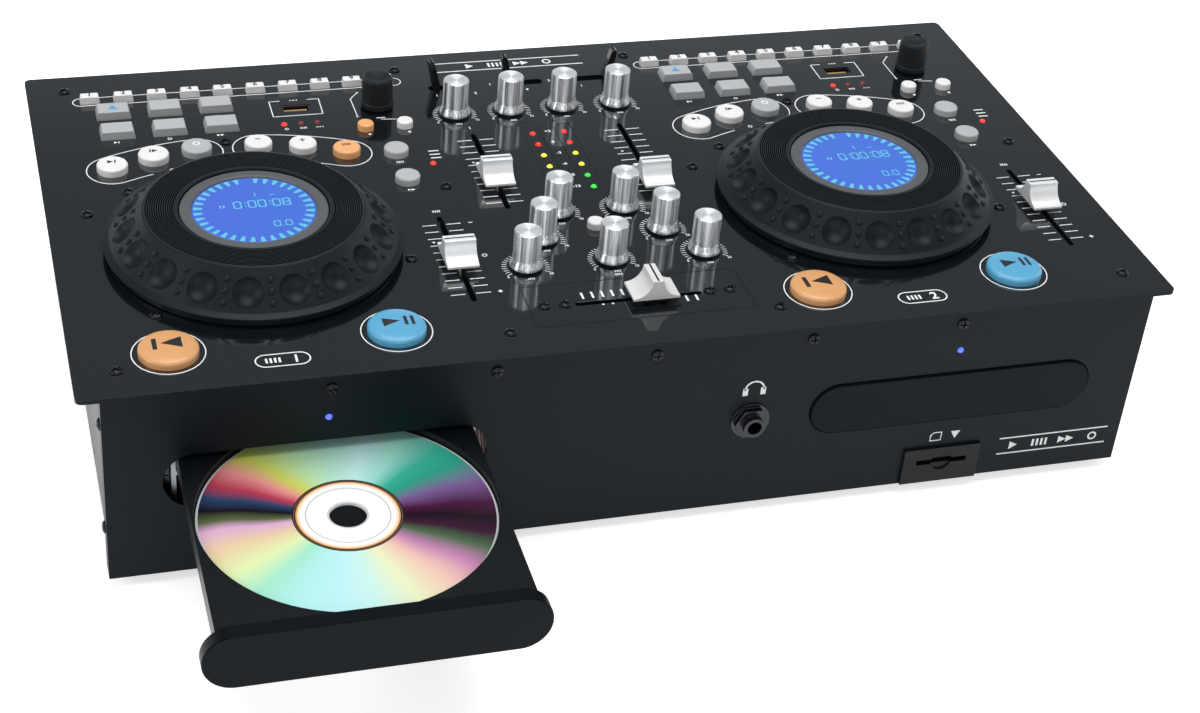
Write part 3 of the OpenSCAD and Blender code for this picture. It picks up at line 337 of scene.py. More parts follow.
    # insulators inside the phono sockets, moulded in two colours for the two channels
    # both dull and even, one clear red and one off-white
    finish("red_abs", "black_plastic", "red_abs", "#b3261e", 0.4, cloud=5)
    finish("white_abs", "black_plastic", "white_abs", "#dcdcda", 0.4, cloud=5)
    finish("mirror", "disc_clear", make=mirror)
    # clear tinted epoxy of a lamp, lit from inside
    for key, name, text, strength in (("red_lit", "lit_red_lens", "#ff2a1c", 1.0),
                                      ("red", "red_lens", "#7c1a16", 0.15),
                                      ("yellow", "lit_yellow_lens", "#f5e63a", 0.6),
                                      ("green", "lit_green_lens", "#28d23a", 0.7),
                                      ("blue_lens", "lit_blue_lens", "#4a62ff", 1.3)):
        finish(key, "lamp_red", name, text, 0.18, grain=0.4, depth=0.001, mottle=0.06, cloud=2,
               emission_color=rgba(text), emission_strength=strength)


def turned_aluminium(name, rough, stretch, lengthwise, metal, dark, light):
    """Bright turned aluminium, its fine marks drawn out along the axis by 1 / lengthwise, into
    streaks that are partly painted reflection.
    """
    mat = surface(name, "#f0f1f3", rough, metal=metal, grain=0.8, depth=0.0004, mottle=0.05,
                  cloud=5, anisotropic=stretch, anisotropic_rotation=0.25)
    where = add(mat, "TexCoord").outputs["Object"]
    # without the turning marks' direction the stretch would lie across the grip
    way = add(mat, "Tangent", direction_type="RADIAL", axis="Z")
    along = add(mat, "Mapping", {"Vector": where, "Scale": (1, 1, lengthwise)})
    # marks 0.7 mm apart, lighter and darker: real ones are finer and wouldn't show, so on the
    # grips these streaks are partly the metal's own marks and partly painted reflection
    marks = add(mat, "TexNoise", {"Vector": along.outputs["Vector"], "Scale": 1400.0,
                                  "Detail": 2.0})
    tone = add(mat, "ValToRGB", {"Fac": marks.outputs["Fac"]}, [(0.38, dark), (0.58, light)])
    feed(mat, tangent=way.outputs["Tangent"], base_color=tone.outputs["Color"])
    return mat


def display_glass(c):
    """A clear window over a lit liquid crystal panel, more violet towards one side."""
    mat = surface("display_glass", shade(c.screen, 0.2), 0.1, grain=0.4, depth=0.0005,
                  mottle=0.04, cloud=20, spread=0.02)
    where = add(mat, "TexCoord").outputs["Object"]
    slope = add(mat, "TexNoise", {"Vector": where, "Scale": 22.0, "Detail": 1.0})
    tint = add(mat, "Mix", {0: slope.outputs["Fac"], 6: rgba("#4180dc"), 7: rgba("#586cde")},
               data_type="RGBA")
    # most of the colour is the lamp behind the panel, and the glass itself is dark
    feed(mat, emission_color=tint.outputs[2], emission_strength=0.8)
    return mat


def ribbon_stripes():
    """Flat ribbon cable: one insulated wire beside the other, one of them red."""
    mat = surface("ribbon_cable", "#c9c9c6", 0.5, grain=0.4, depth=0.002)
    where = add(mat, "TexCoord").outputs["Object"]
    # wires 1.27 mm apart
    wave = add(mat, "TexWave", {"Vector": where, "Scale": 2 * math.pi / 20 / (1.27 * MM)},
               bands_direction="X")
    stripes = add(mat, "ValToRGB", {"Fac": wave.outputs["Fac"]},
                  [(0.35, "#a03030"), (0.5, "#d8d8d4")])
    feed(mat, base_color=stripes.outputs["Color"])
    return mat


def mirror():
    """Polycarbonate over an aluminium mirror, with the colours that its track pitch splits from
    the light painted in.
    """
    mat, where = blank("mirrored_polycarbonate")
    where = add(mat, "Mapping", {"Vector": where, "Location": -DISC}).outputs["Vector"]
    # the painted fans of colour waver a little from the hub to the rim
    waves = add(mat, "TexNoise", {"Vector": where, "Scale": 26.0, "Detail": 1.0})
    sway = add(mat, "MapRange", {"Value": waves.outputs["Fac"], "To Min": -0.015,
                                 "To Max": 0.015})
    around = add(mat, "TexGradient", {"Vector": where}, gradient_type="RADIAL")
    turn = add(mat, "Math", {0: around.outputs["Fac"], 1: sway.outputs["Result"]},
               operation="ADD")
    # painted reflection: the colours and dark bands a lit mirror shows, fixed by angle round the
    # hub
    painted_diffraction = add(mat, "ValToRGB", {"Fac": turn.outputs[0]}, (
        (0.0, "#e0b0d4"), (0.03, "#eccfa8"), (0.075, "#e4f4b4"), (0.12, "#a6ecd0"),
        (0.165, "#b4f0ee"), (0.21, "#c0f2f6"), (0.25, "#ccf4ec"), (0.30, "#ecf2c4"),
        (0.345, "#f2c8b8"), (0.385, "#c684b4"), (0.42, "#4a6a4a"), (0.445, "#3a1430"),
        (0.475, "#1c0c18"), (0.5, "#4a1c40"), (0.535, "#7a5c94"), (0.575, "#2fa088"),
        (0.61, "#3cb49c"), (0.65, "#9ee4d4"), (0.70, "#c8f4f0"), (0.755, "#bcf0d8"),
        (0.81, "#c4ecb0"), (0.855, "#d4dc60"), (0.89, "#ec9494"), (0.92, "#b83c54"),
        (0.942, "#2c4468"), (0.965, "#180e1c"), (0.985, "#5a6a44"), (1.0, "#e0b0d4")))
    out = add(mat, "VectorMath", {0: where}, operation="LENGTH").outputs["Value"]
    share = add(mat, "Math", {0: out, 1: DISC_R * MM}, operation="DIVIDE").outputs[0]
    # round the hole the clear hub is painted white, for the light floor seen through it, with its
    # grey and orange lines and the dark stacking ring
    hub = add(mat, "ValToRGB", {"Fac": share}, [(r / DISC_R, tone) for r, tone in (
        (0.0, "#c9cacb"), (8.3, "#f6f6f6"), (16.5, "#b9b9b9"), (16.9, "#f6f6f6"),
        (19.0, "#f2dfc4"), (20.0, "#dda063"), (20.7, "#1c1517"), (21.3, "#6a5348"),
        (21.6, "#1c1517"), (MIRROR_FROM, "#ffffff"))], "CONSTANT")
    # white where the mirror is; past it the clear rim shows pale grey
    zone = add(mat, "ValToRGB", {"Fac": share}, [(r / DISC_R, tone) for r, tone in (
        (0.0, 0), (MIRROR_FROM, 1), (MIRROR_TO, 0))], "CONSTANT").outputs["Color"]
    past = add(mat, "Math", {0: share, 1: 0.9}, operation="GREATER_THAN")
    edge = add(mat, "Mix", {0: past.outputs[0], 6: hub.outputs["Color"], 7: rgba("#c3c6c9")},
               data_type="RGBA")
    tone = add(mat, "Mix", {0: zone, 6: edge.outputs[2], 7: painted_diffraction.outputs["Color"]},
               data_type="RGBA")
    metal = add(mat, "Math", {0: zone, 1: 0.1}, operation="MULTIPLY")
    feed(mat, base_color=tone.outputs[2], roughness=0.16, metallic=metal.outputs[0])
    return mat


# ------------------------------------------------------------------ modelling helpers
def only(*objs):
    """Leave nothing selected but these, the first of them active."""
    if bpy.context.mode != "OBJECT":
        bpy.ops.object.mode_set(mode="OBJECT")
    bpy.ops.object.select_all(action="DESELECT")
    for o in objs:
        o.select_set(True)
    if objs:
        bpy.context.view_layer.objects.active = objs[0]


def edit(obj):
    """Go into edit mode with everything selected."""
    only(obj)
    bpy.ops.object.mode_set(mode="EDIT")
    bpy.ops.mesh.select_mode(type="VERT")
    bpy.ops.mesh.select_all(action="SELECT")


def closed(obj):
    """Turn all normals outward and leave edit mode."""
    bpy.ops.mesh.select_all(action="SELECT")
    bpy.ops.mesh.normals_make_consistent(inside=False)
    bpy.ops.object.mode_set(mode="OBJECT")
    return obj


def grow(move, k=1.0):
    """Extrude what is selected by a vector in mm, then size it by k about the z axis."""
    bpy.ops.mesh.extrude_region_move(
        TRANSFORM_OT_translate={"value": tuple(v * MM for v in move)})
    if k != 1.0:
        bpy.ops.transform.resize(value=(k, k, 1), center_override=(0, 0, 0))


def circle(steps, radius, fill="NGON"):
    """A circle round the z axis, its radius in mm."""
    only()
    bpy.ops.mesh.primitive_circle_add(vertices=steps, radius=radius * MM, fill_type=fill,
                                      location=(0, 0, 0))
    return bpy.context.object


def turned(rings, steps=64, hollow=False):
    """A turned solid from (radius, height) rings in mm; a hollow one closes on itself."""
    obj = circle(steps, rings[0][0], "NOTHING" if hollow else "NGON")
    edit(obj)
    bpy.ops.transform.translate(value=(0, 0, rings[0][1] * MM))
    if hollow:
        rings = [*rings, rings[0]]
    for (ra, za), (rb, zb) in zip(rings, rings[1:]):
        grow((0, 0, zb - za), max(rb, 1e-4) / ra)
    bpy.ops.mesh.select_all(action="SELECT")
    bpy.ops.mesh.remove_doubles(threshold=1e-6)
    return closed(obj)


def block(w, d, h, top=1.0, z=0.0):
    """A block standing at height z, its top face sized by top."""
    only()
    bpy.ops.mesh.primitive_cube_add(size=1, location=(0, 0, 0))
    obj = bpy.context.object
    obj.data.transform(Matrix.Diagonal((w * MM, d * MM, h * MM, 1)))
    shift(obj, z=z + h / 2)
    if top != 1.0:
        for part in (obj.data.vertices, obj.data.edges, obj.data.polygons):
            for element in part:
                element.select = False
        for face in obj.data.polygons:
            face.select = face.normal.z > 0.9
        bpy.ops.object.mode_set(mode="EDIT")
        bpy.ops.mesh.select_mode(type="FACE")
        bpy.ops.transform.resize(value=(top, top, 1), center_override=(0, 0, 0))
        bpy.ops.object.mode_set(mode="OBJECT")
    return obj


def prism(points, push):
    """A closed outline, its points in mm, pushed along a vector."""
    obj = circle(len(points), 1000)
    for v, point in zip(obj.data.vertices, points):
        v.co = Vector(point) * MM
    edit(obj)
    grow(push)
    return closed(obj)


def flat(points, h=0.04, z=0.0):
    """A flat shape with the given outline, z mm up and h mm thick."""
    return prism([(x, y, z) for x, y in points], (0, 0, h))


def rect(x0, y0, x1, y1):
    """The outline of a rectangle."""
    return [(x0, y0), (x1, y0), (x1, y1), (x0, y1)]


def bar(x0, y0, x1, y1, h=0.04):
    """A flat rectangle, h mm thick."""
    return flat(rect(x0, y0, x1, y1), h)


def stroke(points, w):
    """The outline of a line w mm wide through points, closed where its ends meet."""
    loop = points[0] == points[-1]
    sides = [], []
    for i, p in enumerate(points):
        before = points[i - 1] if i else points[-2] if loop else p
        after = points[i + 1] if i + 1 < len(points) else points[1] if loop else p
        way = (Vector(after) - Vector(before)).normalized() * w / 2
        sides[0].append((p[0] - way.y, p[1] + way.x))
        sides[1].append((p[0] + way.y, p[1] - way.x))
    return sides[0] + sides[1][::-1]


def line(points, w, h=0.04):
    """A flat line w mm wide, h mm thick."""
    return flat(stroke(points, w), h)


def arc(x, y, r, start, end, steps=12):
    """Points along an arc, its angles in degrees from the x axis."""
    turns = [math.radians(start + (end - start) * i / steps) for i in range(steps + 1)]
    return [(x + r * math.cos(a), y + r * math.sin(a)) for a in turns]


def rounded(x0, y0, x1, y1, r):
    """A closed rectangle with rounded corners."""
    points = (arc(x1 - r, y1 - r, r, 0, 90, 4) + arc(x0 + r, y1 - r, r, 90, 180, 4)
              + arc(x0 + r, y0 + r, r, 180, 270, 4) + arc(x1 - r, y0 + r, r, 270, 360, 4))
    return points + points[:1]


# the outlines of the printed signs, 1 high
SIGNS = {
    "minus": (rect(-0.5, -0.12, 0.5, 0.12),),
    "plus": (rect(-0.5, -0.12, -0.12, 0.12), rect(-0.12, -0.5, 0.12, 0.5),
             rect(0.12, -0.12, 0.5, 0.12)),
    "play": ([(-0.4, -0.5), (0.5, 0), (-0.4, 0.5)],),
    "play_pause": ([(-0.95, -0.42), (0.05, 0), (-0.95, 0.42)], rect(0.3, -0.45, 0.5, 0.45),
                   rect(0.7, -0.45, 0.9, 0.45)),
    "back": (rect(-0.9, -0.45, -0.68, 0.45), [(-0.5, 0), (0.5, -0.45), (0.5, 0.45)]),
    "next": ([(-0.9, -0.45), (0, 0), (-0.9, 0.45)], [(0, -0.45), (0.9, 0), (0, 0.45)]),
    "left": ([(-0.5, 0), (0.4, -0.5), (0.4, 0.5)],),
    "into": ([(-0.7, -0.45), (0.2, 0), (-0.7, 0.45)], rect(0.35, -0.45, 0.58, 0.45)),
    "out": (rect(-0.58, -0.45, -0.35, 0.45), [(-0.2, -0.45), (0.7, 0), (-0.2, 0.45)]),
    "down": ([(-0.5, 0.45), (0, -0.45), (0.5, 0.45)],),
    "up": ([(-0.5, -0.45), (0.5, -0.45), (0, 0.45)],),
    "eject": ([(-0.55, -0.1), (0.55, -0.1), (0, 0.5)], rect(-0.55, -0.5, 0.55, -0.28)),
    "dots": tuple(arc(x, 0, 0.24, 0, 330, 11) for x in (-0.8, 0, 0.8)),
    "dot": (arc(0, 0, 0.3, 0, 330, 11),),
    "ring": (stroke(arc(0, 0, 0.42, 0, 360, 20), 0.2),),
    "bars": tuple(rect(x - 0.13, -0.45, x + 0.13, 0.45) for x in (-0.75, -0.25, 0.25, 0.75)),
    "wide": (rect(-0.9, -0.14, 0.9, 0.14),),
}
PROUD = 0.04


def sign(kind, size, x=0.0, y=0.0, z=0.0, deep=0.1):
    """A plain printed sign, size mm high, that stands proud of z."""
    return join([flat([(x + px * size, y + py * size) for px, py in part], deep + PROUD,
                      z - deep) for part in SIGNS[kind]])


def number(text, size, x=0.0, y=0.0, z=0.0, deep=0.1):
    """Printed figures, size mm high, that stand proud of z."""
    only()
    bpy.ops.object.text_add(location=(0, 0, 0))
    text_data = bpy.context.object.data
    text_data.body = text
    text_data.size = size * 1.4 * MM
    text_data.align_x = text_data.align_y = "CENTER"
    text_data.resolution_u = 3
    text_data.offset = size * 0.03 * MM
    text_data.extrude = (deep + PROUD) / 2 * MM
    bpy.ops.object.convert(target="MESH")
    return shift(bpy.context.object, x, y, z + PROUD / 2 - deep / 2)


def printed(*rows):
    """Signs and figures from rows of what, size and place."""
    return [(sign if row[0] in SIGNS else number)(*row) for row in rows]


def paint(obj, finish, test):
    """Give a second finish to the faces that pass a test.

    The test gets a face's centre, in mm from the panel's corner, and its normal.
    """
    obj.data.materials.append(MATS[finish])
    for face in obj.data.polygons:
        if test((face.center - CORNER) / MM, face.normal):
            face.material_index = len(obj.data.materials) - 1


def near(x, y, r):
    """A test for paint: closer than r to a place on the panel."""
    return lambda c, n: math.hypot(c.x - x, c.y - y) < r


def apply(obj, kind, **settings):
    """Add a modifier and apply it."""
    only(obj)
    m = obj.modifiers.new(kind.title(), kind)
    for key, value in settings.items():
        setattr(m, key, value)
    bpy.ops.object.modifier_apply(modifier=m.name)
    return obj


def bevel(obj, width, segments=2, angle=35):
    """Ease the edges that turn by more than angle."""
    return apply(obj, "BEVEL", width=width * MM, segments=segments, limit_method="ANGLE",
                 angle_limit=math.radians(angle), harden_normals=False)


def drop(*objs):
    """Delete objects that nothing needs any more."""
    for o in objs:
        bpy.data.objects.remove(o, do_unlink=True)


def cut(obj, *cutters, operation="DIFFERENCE"):
    """Cut other solids out of one and delete them."""
    for c in cutters:
        apply(obj, "BOOLEAN", operation=operation, object=c, solver="EXACT")
    drop(*cutters)
    return obj


def shift(obj, x=0.0, y=0.0, z=0.0, turn=0.0, axis="Z"):
    """Turn a mesh about the origin, then move it by millimetres."""
    obj.data.transform(Matrix.Translation(Vector((x, y, z)) * MM)
                       @ Matrix.Rotation(math.radians(turn), 4, axis))
    return obj


def own(obj):
    """A copy with a mesh of its own."""
    new = obj.copy()
    new.data = obj.data.copy()
    bpy.context.collection.objects.link(new)
    return new


def again(obj, *where, **turn):
    """A copy, turned and moved as by shift."""
    return shift(own(obj), *where, **turn)


def join(objs):
    """Make several objects one."""
    only(*objs)
    if len(objs) > 1:
        bpy.ops.object.join()
    return bpy.context.object


def done(obj, name, finish, body="case", replaces=(), place=None, angle=32, weld=3e-6):
    """Name a piece, put its place into its mesh, close and shade it, and let it ride."""
    obj.name = obj.data.name = name
    if place is not None:
        obj.data.transform(Matrix.Translation(place))
    edit(obj)
    if weld:
        bpy.ops.mesh.remove_doubles(threshold=weld)
    closed(obj)
    bpy.ops.object.shade_smooth_by_angle(angle=math.radians(angle))
    apply(obj, "WEIGHTED_NORMAL", keep_sharp=True, weight=60)
    dress(finish, obj)
    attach(obj, body)
    if replaces:
        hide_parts(*replaces)
    return obj


def laid(parts, name, finish, body="case", place=CORNER):
    """Make printed marks one piece, with no welding of their thin faces."""
    return done(join(parts), name, finish, body, place=place, weld=0, angle=20)


def refined(node, name, finish, body="case", width=0.25, segments=2, limit=35):
    """A copy of a frame node with its triangles merged and its edges eased."""
    only(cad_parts[node])
    obj = own(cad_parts[node])
    obj.parent = None
    edit(obj)
    bpy.ops.mesh.remove_doubles(threshold=1e-6)
    bpy.ops.mesh.dissolve_limited(angle_limit=math.radians(0.5))
    bpy.ops.object.mode_set(mode="OBJECT")
    if width:
        bevel(obj, width, segments, limit)
    return done(obj, name, finish, body, (node,), weld=0)


def dress(finish, obj):
    """Give a piece, or a frame node that keeps its shape, a finish."""
    obj.data.materials.clear()
    obj.data.materials.append(MATS[finish])


class Piece:
    """What the operators share."""
    bl_options = {"REGISTER", "UNDO"}


# ------------------------------------------------------------------ stage
class PLAYER_OT_stage(Piece, bpy.types.Operator):
    """Floor, backdrop light, lamps and camera"""
    bl_idname = "player.stage"
    bl_label = "Stage"

    def execute(self, context):
        scene = context.scene
        scene.view_settings.view_transform = "Standard"
        make_materials(tinted())
        only()
        bpy.ops.mesh.primitive_plane_add(size=1, location=(0, 0, 0))
        floor = context.object
        edit(floor)
        bpy.ops.transform.resize(value=(14, 14, 1), center_override=(0, 0, 0))
        bpy.ops.object.mode_set(mode="OBJECT")
        floor.name = "floor"
        floor.data.materials.append(self.paper())
        scene.world = self.backdrop()
        for name, place, size, power in (("lamp_top", (0.1, 0.2, 2.1), 1.7, 34),
                                         ("lamp_left", (-1.6, -0.2, 0.95), 0.7, 8),
                                         ("lamp_right", (1.5, 0.35, 1.0), 0.6, 3),
                                         ("lamp_front", (-0.3, -1.8, 1.0), 0.9, 6)):
            self.lamp(name, Vector(place), size, power)
        scene.camera = self.camera()
        return {"FINISHED"}

    def lamp(self, name, place, size, power):
        """A square soft box turned to the player."""
        only()
        bpy.ops.object.light_add(type="AREA", location=place)
        lamp = bpy.context.object
        lamp.name = name
        lamp.rotation_euler = (-place).to_track_quat("-Z", "Y").to_euler()
        lamp.data.size = size
        lamp.data.energy = power

    def paper(self):
        """Matt studio paper: white to the camera and in reflections, with the shadow kept."""
        mat = blank("studio_paper")[0]
        nodes = mat.node_tree.nodes
        feed(mat, base_color=rgba(tinted().floor), roughness=0.9, specular_ior_level=0.1)
        ray = add(mat, "LightPath").outputs
        seen = add(mat, "Math", {0: ray["Is Camera Ray"], 1: ray["Is Glossy Ray"]},
                   operation="MAXIMUM")
        seen = add(mat, "Math", {0: seen.outputs[0], 1: ray["Is Transmission Ray"]},
                   operation="MAXIMUM")
        # a little light of its own takes the lamps' grey up to white
        level = add(mat, "Math", {0: seen.outputs[0], 1: 0.62}, operation="MULTIPLY")
        glow = add(mat, "Emission", {"Color": (1, 1, 1, 1), "Strength": level.outputs[0]})
        both = add(mat, "AddShader", {0: nodes["Principled BSDF"].outputs[0],
                                      1: glow.outputs[0]})
        put(mat, nodes["Material Output"].inputs["Surface"], both.outputs[0])
        return mat

    def backdrop(self):
        """White to the eye; gloss and metal meet a bright low wall under a dim studio."""
        world = bpy.data.worlds.new("studio")
        world.use_nodes = True
        ray = add(world, "LightPath").outputs
        shine = add(world, "Math", {0: ray["Is Glossy Ray"], 1: ray["Is Transmission Ray"]},
                    operation="MAXIMUM").outputs[0]
        way = add(world, "TexCoord").outputs["Generated"]
        height = add(world, "SeparateXYZ", {"Vector": way}).outputs["Z"]
        low = add(world, "MapRange", {"Value": height, "From Min": 0.05, "From Max": 0.5,
                                      "To Min": 1.0, "To Max": 0.0})
        around = add(world, "TexGradient", {"Vector": way}, gradient_type="RADIAL")
        # bright and dark flats round the room stripe the turned knobs
        levels = (1.6, 0.1, 2.1, 0.1, 1.8, 0.7, 2.1, 0.1, 2.0, 0.1, 1.9, 0.15, 2.0, 0.2, 1.6)
        flats = add(world, "ValToRGB", {"Fac": around.outputs["Fac"]},
                    [(i / (len(levels) - 1), level) for i, level in enumerate(levels)])
        wall = add(world, "Math", {0: low.outputs["Result"], 1: flats.outputs["Color"],
                                   2: 0.18}, operation="MULTIPLY_ADD")
        # a dim room for dull surfaces, the wall for shiny ones, and white behind it all
        room = add(world, "Mix", {0: shine, 2: 0.34, 3: wall.outputs[0]})
        level = add(world, "Mix", {0: ray["Is Camera Ray"], 2: room.outputs[0], 3: 1.0})
        # what gloss and metal meet is a little cooler than white
        tone = add(world, "Mix", {0: shine, 6: (1, 1, 1, 1), 7: (0.86, 0.94, 1.0, 1)},
                   data_type="RGBA")
        back = world.node_tree.nodes["Background"].inputs
        put(world, back["Color"], tone.outputs[2])
        put(world, back["Strength"], level.outputs[0])
        return world

    def camera(self):
        """A view from the front left, from above."""
        only()
        bpy.ops.object.camera_add(location=at(-37.67, -704.26, 518.76))
        cam = bpy.context.object
        cam.name = "camera"
        right = Vector((0.962025, -0.263932, 0.069622))
        down = Vector((-0.09228, -0.554521, -0.827038))
        ahead = Vector((0.256888, 0.789206, -0.557819))
        cam.rotation_euler = Matrix((right, -down, -ahead)).transposed().to_euler()
        cam.data.lens, cam.data.sensor_width = 65.87, 36
        cam.data.shift_x, cam.data.shift_y = 0.0401, -0.0371
        return cam


# ------------------------------------------------------------------ case
class PLAYER_OT_case(Piece, bpy.types.Operator):
    """Top panel, front panel, crossfader plate, chassis, feet and the boards inside"""
    bl_idname = "player.case"
    bl_label = "Case"

    def execute(self, context):
        plate = refined("top_panel", "top_plate", "panel", width=0.4)
        # the cut edges took less enamel and stay satin
        paint(plate, "front", lambda c, n: abs(n.z) < 0.5)
        refined("crossfader_plate", "crossfader_cover", "panel", width=0.3)
        refined("front_panel", "front_plate", "front", width=0.5, segments=3)
        refined("chassis", "chassis_pan", "chassis", width=0)
        refined("rubber_feet", "feet", "rubber", width=0.3)
        # green boards, and on them black cases, pots and switches
        for node, top in (("deck_boards", BOARD_TOP), ("mixer_board", BOARD_TOP),
                          ("power_supply", SUPPLY_TOP)):
            board = refined(node, node + "_loaded", "board", width=0)
            paint(board, "black", lambda c, n: c.z > top + 0.5)
        dress("zinc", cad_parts["disc_drives"])
        return {"FINISHED"}


class PLAYER_OT_screws(Piece, bpy.types.Operator):
    """Domed cross-head screws of the top panel, the front and the sides"""
    bl_idname = "player.screws"
    bl_label = "Screws"

    def execute(self, context):
        r = sized().screw_head / MM
        head = turned([(r, 0), (r, 0.35), (r * 0.93, 0.75), (r * 0.75, 1.08), (r * 0.5, 1.28),
                       (r * 0.25, 1.38)], steps=28)
        # the cross: two tapered wings that meet in a cone
        wing = block(r * 1.25, 0.55, 1.2, top=1.25, z=0.45)
        cut(head, wing, again(wing, turn=90), turned([(0.25, 0.4), (0.95, 1.5)], steps=12))
        head = join([head, turned([(1.5, -5), (1.5, 0.1)], steps=16)])
        # the top panel's edges, round each jog wheel, and the crossfader's cover
        places = [(x, y) for x in (17.8, 180.1, PITCH + 18.5, PANEL_W - 17.8)
                  for y in (17.5, 137.4, PANEL_D - 14.6)]
        jog = middle("jog_wheel_left")
        for d in SIDES.values():
            places += [(86.9 + d, 192), (jog[0] + 65.26 + d, jog[1] - 21.46),
                       (jog[0] - 48.1 + d, jog[1] - 46.93), (jog[0] - 48.58 + d, jog[1] + 53.0)]
        plate = middle("crossfader_plate")
        places += [(plate[0] + x, plate[1] - 0.4) for x in (-42, -32.8, 32.4, 41.6)]
        chance = random.Random(7)
        made = [again(head, x, y, 0, turn=chance.uniform(0, 90)) for x, y in places]
        # the front's upper edge, the side flanges and the feet
        upright = again(head, turn=90, axis="X")
        made += [again(upright, MIXER + x, 2, -7.7) for x in (-138.4, -69.4, 0, 70.6, 140.6)]
        for s, x in ((-1, 9.5), (1, PANEL_W - 9.5)):
            made += [again(head, x, 8, z, turn=90 * s, axis="Y") for z in (-18, -71)]
        foot_z = box("rubber_feet")[0].z + 3
        made += [again(head, x, y, foot_z, turn=180, axis="X")
                 for x in (48, PANEL_W - 48) for y in (34, 230)]
        drop(head, upright)
        done(join(made), "screws", "screw", replaces=("case_screws",), place=CORNER)
        return {"FINISHED"}


# ------------------------------------------------------------------ jog wheels and displays
class PLAYER_OT_jog_wheels(Piece, bpy.types.Operator):
    """Jog wheels with grooved tops, finger dimples and grip bumps"""
    bl_idname = "player.jog_wheels"
    bl_label = "Jog wheels"

    def execute(self, context):
        s = sized()
        # the flat top ring with its grooves, then the slope, the rim and the hollow inside
        inner, outer, top = 34.6, 46.9, 19.9
        rings = [(32.5, 1.8), (32.5, 19.4), (33.0, top), (34.3, top)]
        for i in range(s.grooves):
            a = inner + i * (outer - inner) / s.grooves
            rings += [(a, top), (a + 0.16, 19.2), (a + 0.46, 19.2), (a + 0.62, top)]
        rings += [(47.3, top), (47.7, 19.8), (48.1, 19.5), (62.0, 6.45), (62.4, 6.1),
                  (64.4, 5.35), (64.85, 5.1), (64.9, 4.8), (64.9, 4.4), (64.6, 4.1), (62.7, 3.5),
                  (62.7, 0.75), (60.6, 0.75), (60.6, 2.2), (43.5, 14.8), (35.1, 14.8), (35.1, 1.8)]
        wheel = turned(rings, steps=144, hollow=True)
        only()
        bpy.ops.mesh.primitive_uv_sphere_add(segments=40, ring_count=26, radius=8.6 * MM,
                                             location=(0, 0, 0))
        # a ball over the slope cuts the finger dimples
        ball = shift(context.object, 59.26, 0, 16.04)
        phase, each = 18.5, 360 / s.dimples
        cut(wheel, join([again(ball, turn=phase + i * each) for i in range(s.dimples)]))
        # three bumps in a row up the slope, between two dimples
        run, fall = 13.9, 13.05
        r = s.bump / MM
        bump = turned([(r, -0.4), (r, 0.1), (r * 0.86, 0.5), (r * 0.5, 0.8), (r * 0.05, 0.92)],
                      steps=14)
        shift(bump, turn=math.degrees(math.atan2(fall, run)), axis="Y")
        bumps = [shift(again(bump, 48.1 + run * t, 0, 19.5 - fall * t),
                       turn=phase + (i + 0.5) * each)
                 for i in range(s.dimples) for t in (0.26, 0.53, 0.8)]
        wheel = join([wheel] + bumps)
        for side in SIDES:
            node = "jog_wheel_" + side
            x, y = middle(node)
            jog = done(again(wheel), "jog_" + side + "_wheel", "jog", "jog_" + side, (node,),
                       at(x, y), angle=28)
            # painted shade in the grooves; the lands between them are the rubbed moulding
            for finish, low, high in (("groove", 18.5, 19.85), ("land", 19.85, 21)):
                paint(jog, finish, lambda c, n: low < c.z < high
                      and inner - 0.1 < math.hypot(c.x - x, c.y - y) < outer + 0.3)
        drop(ball, bump, wheel)
        return {"FINISHED"}


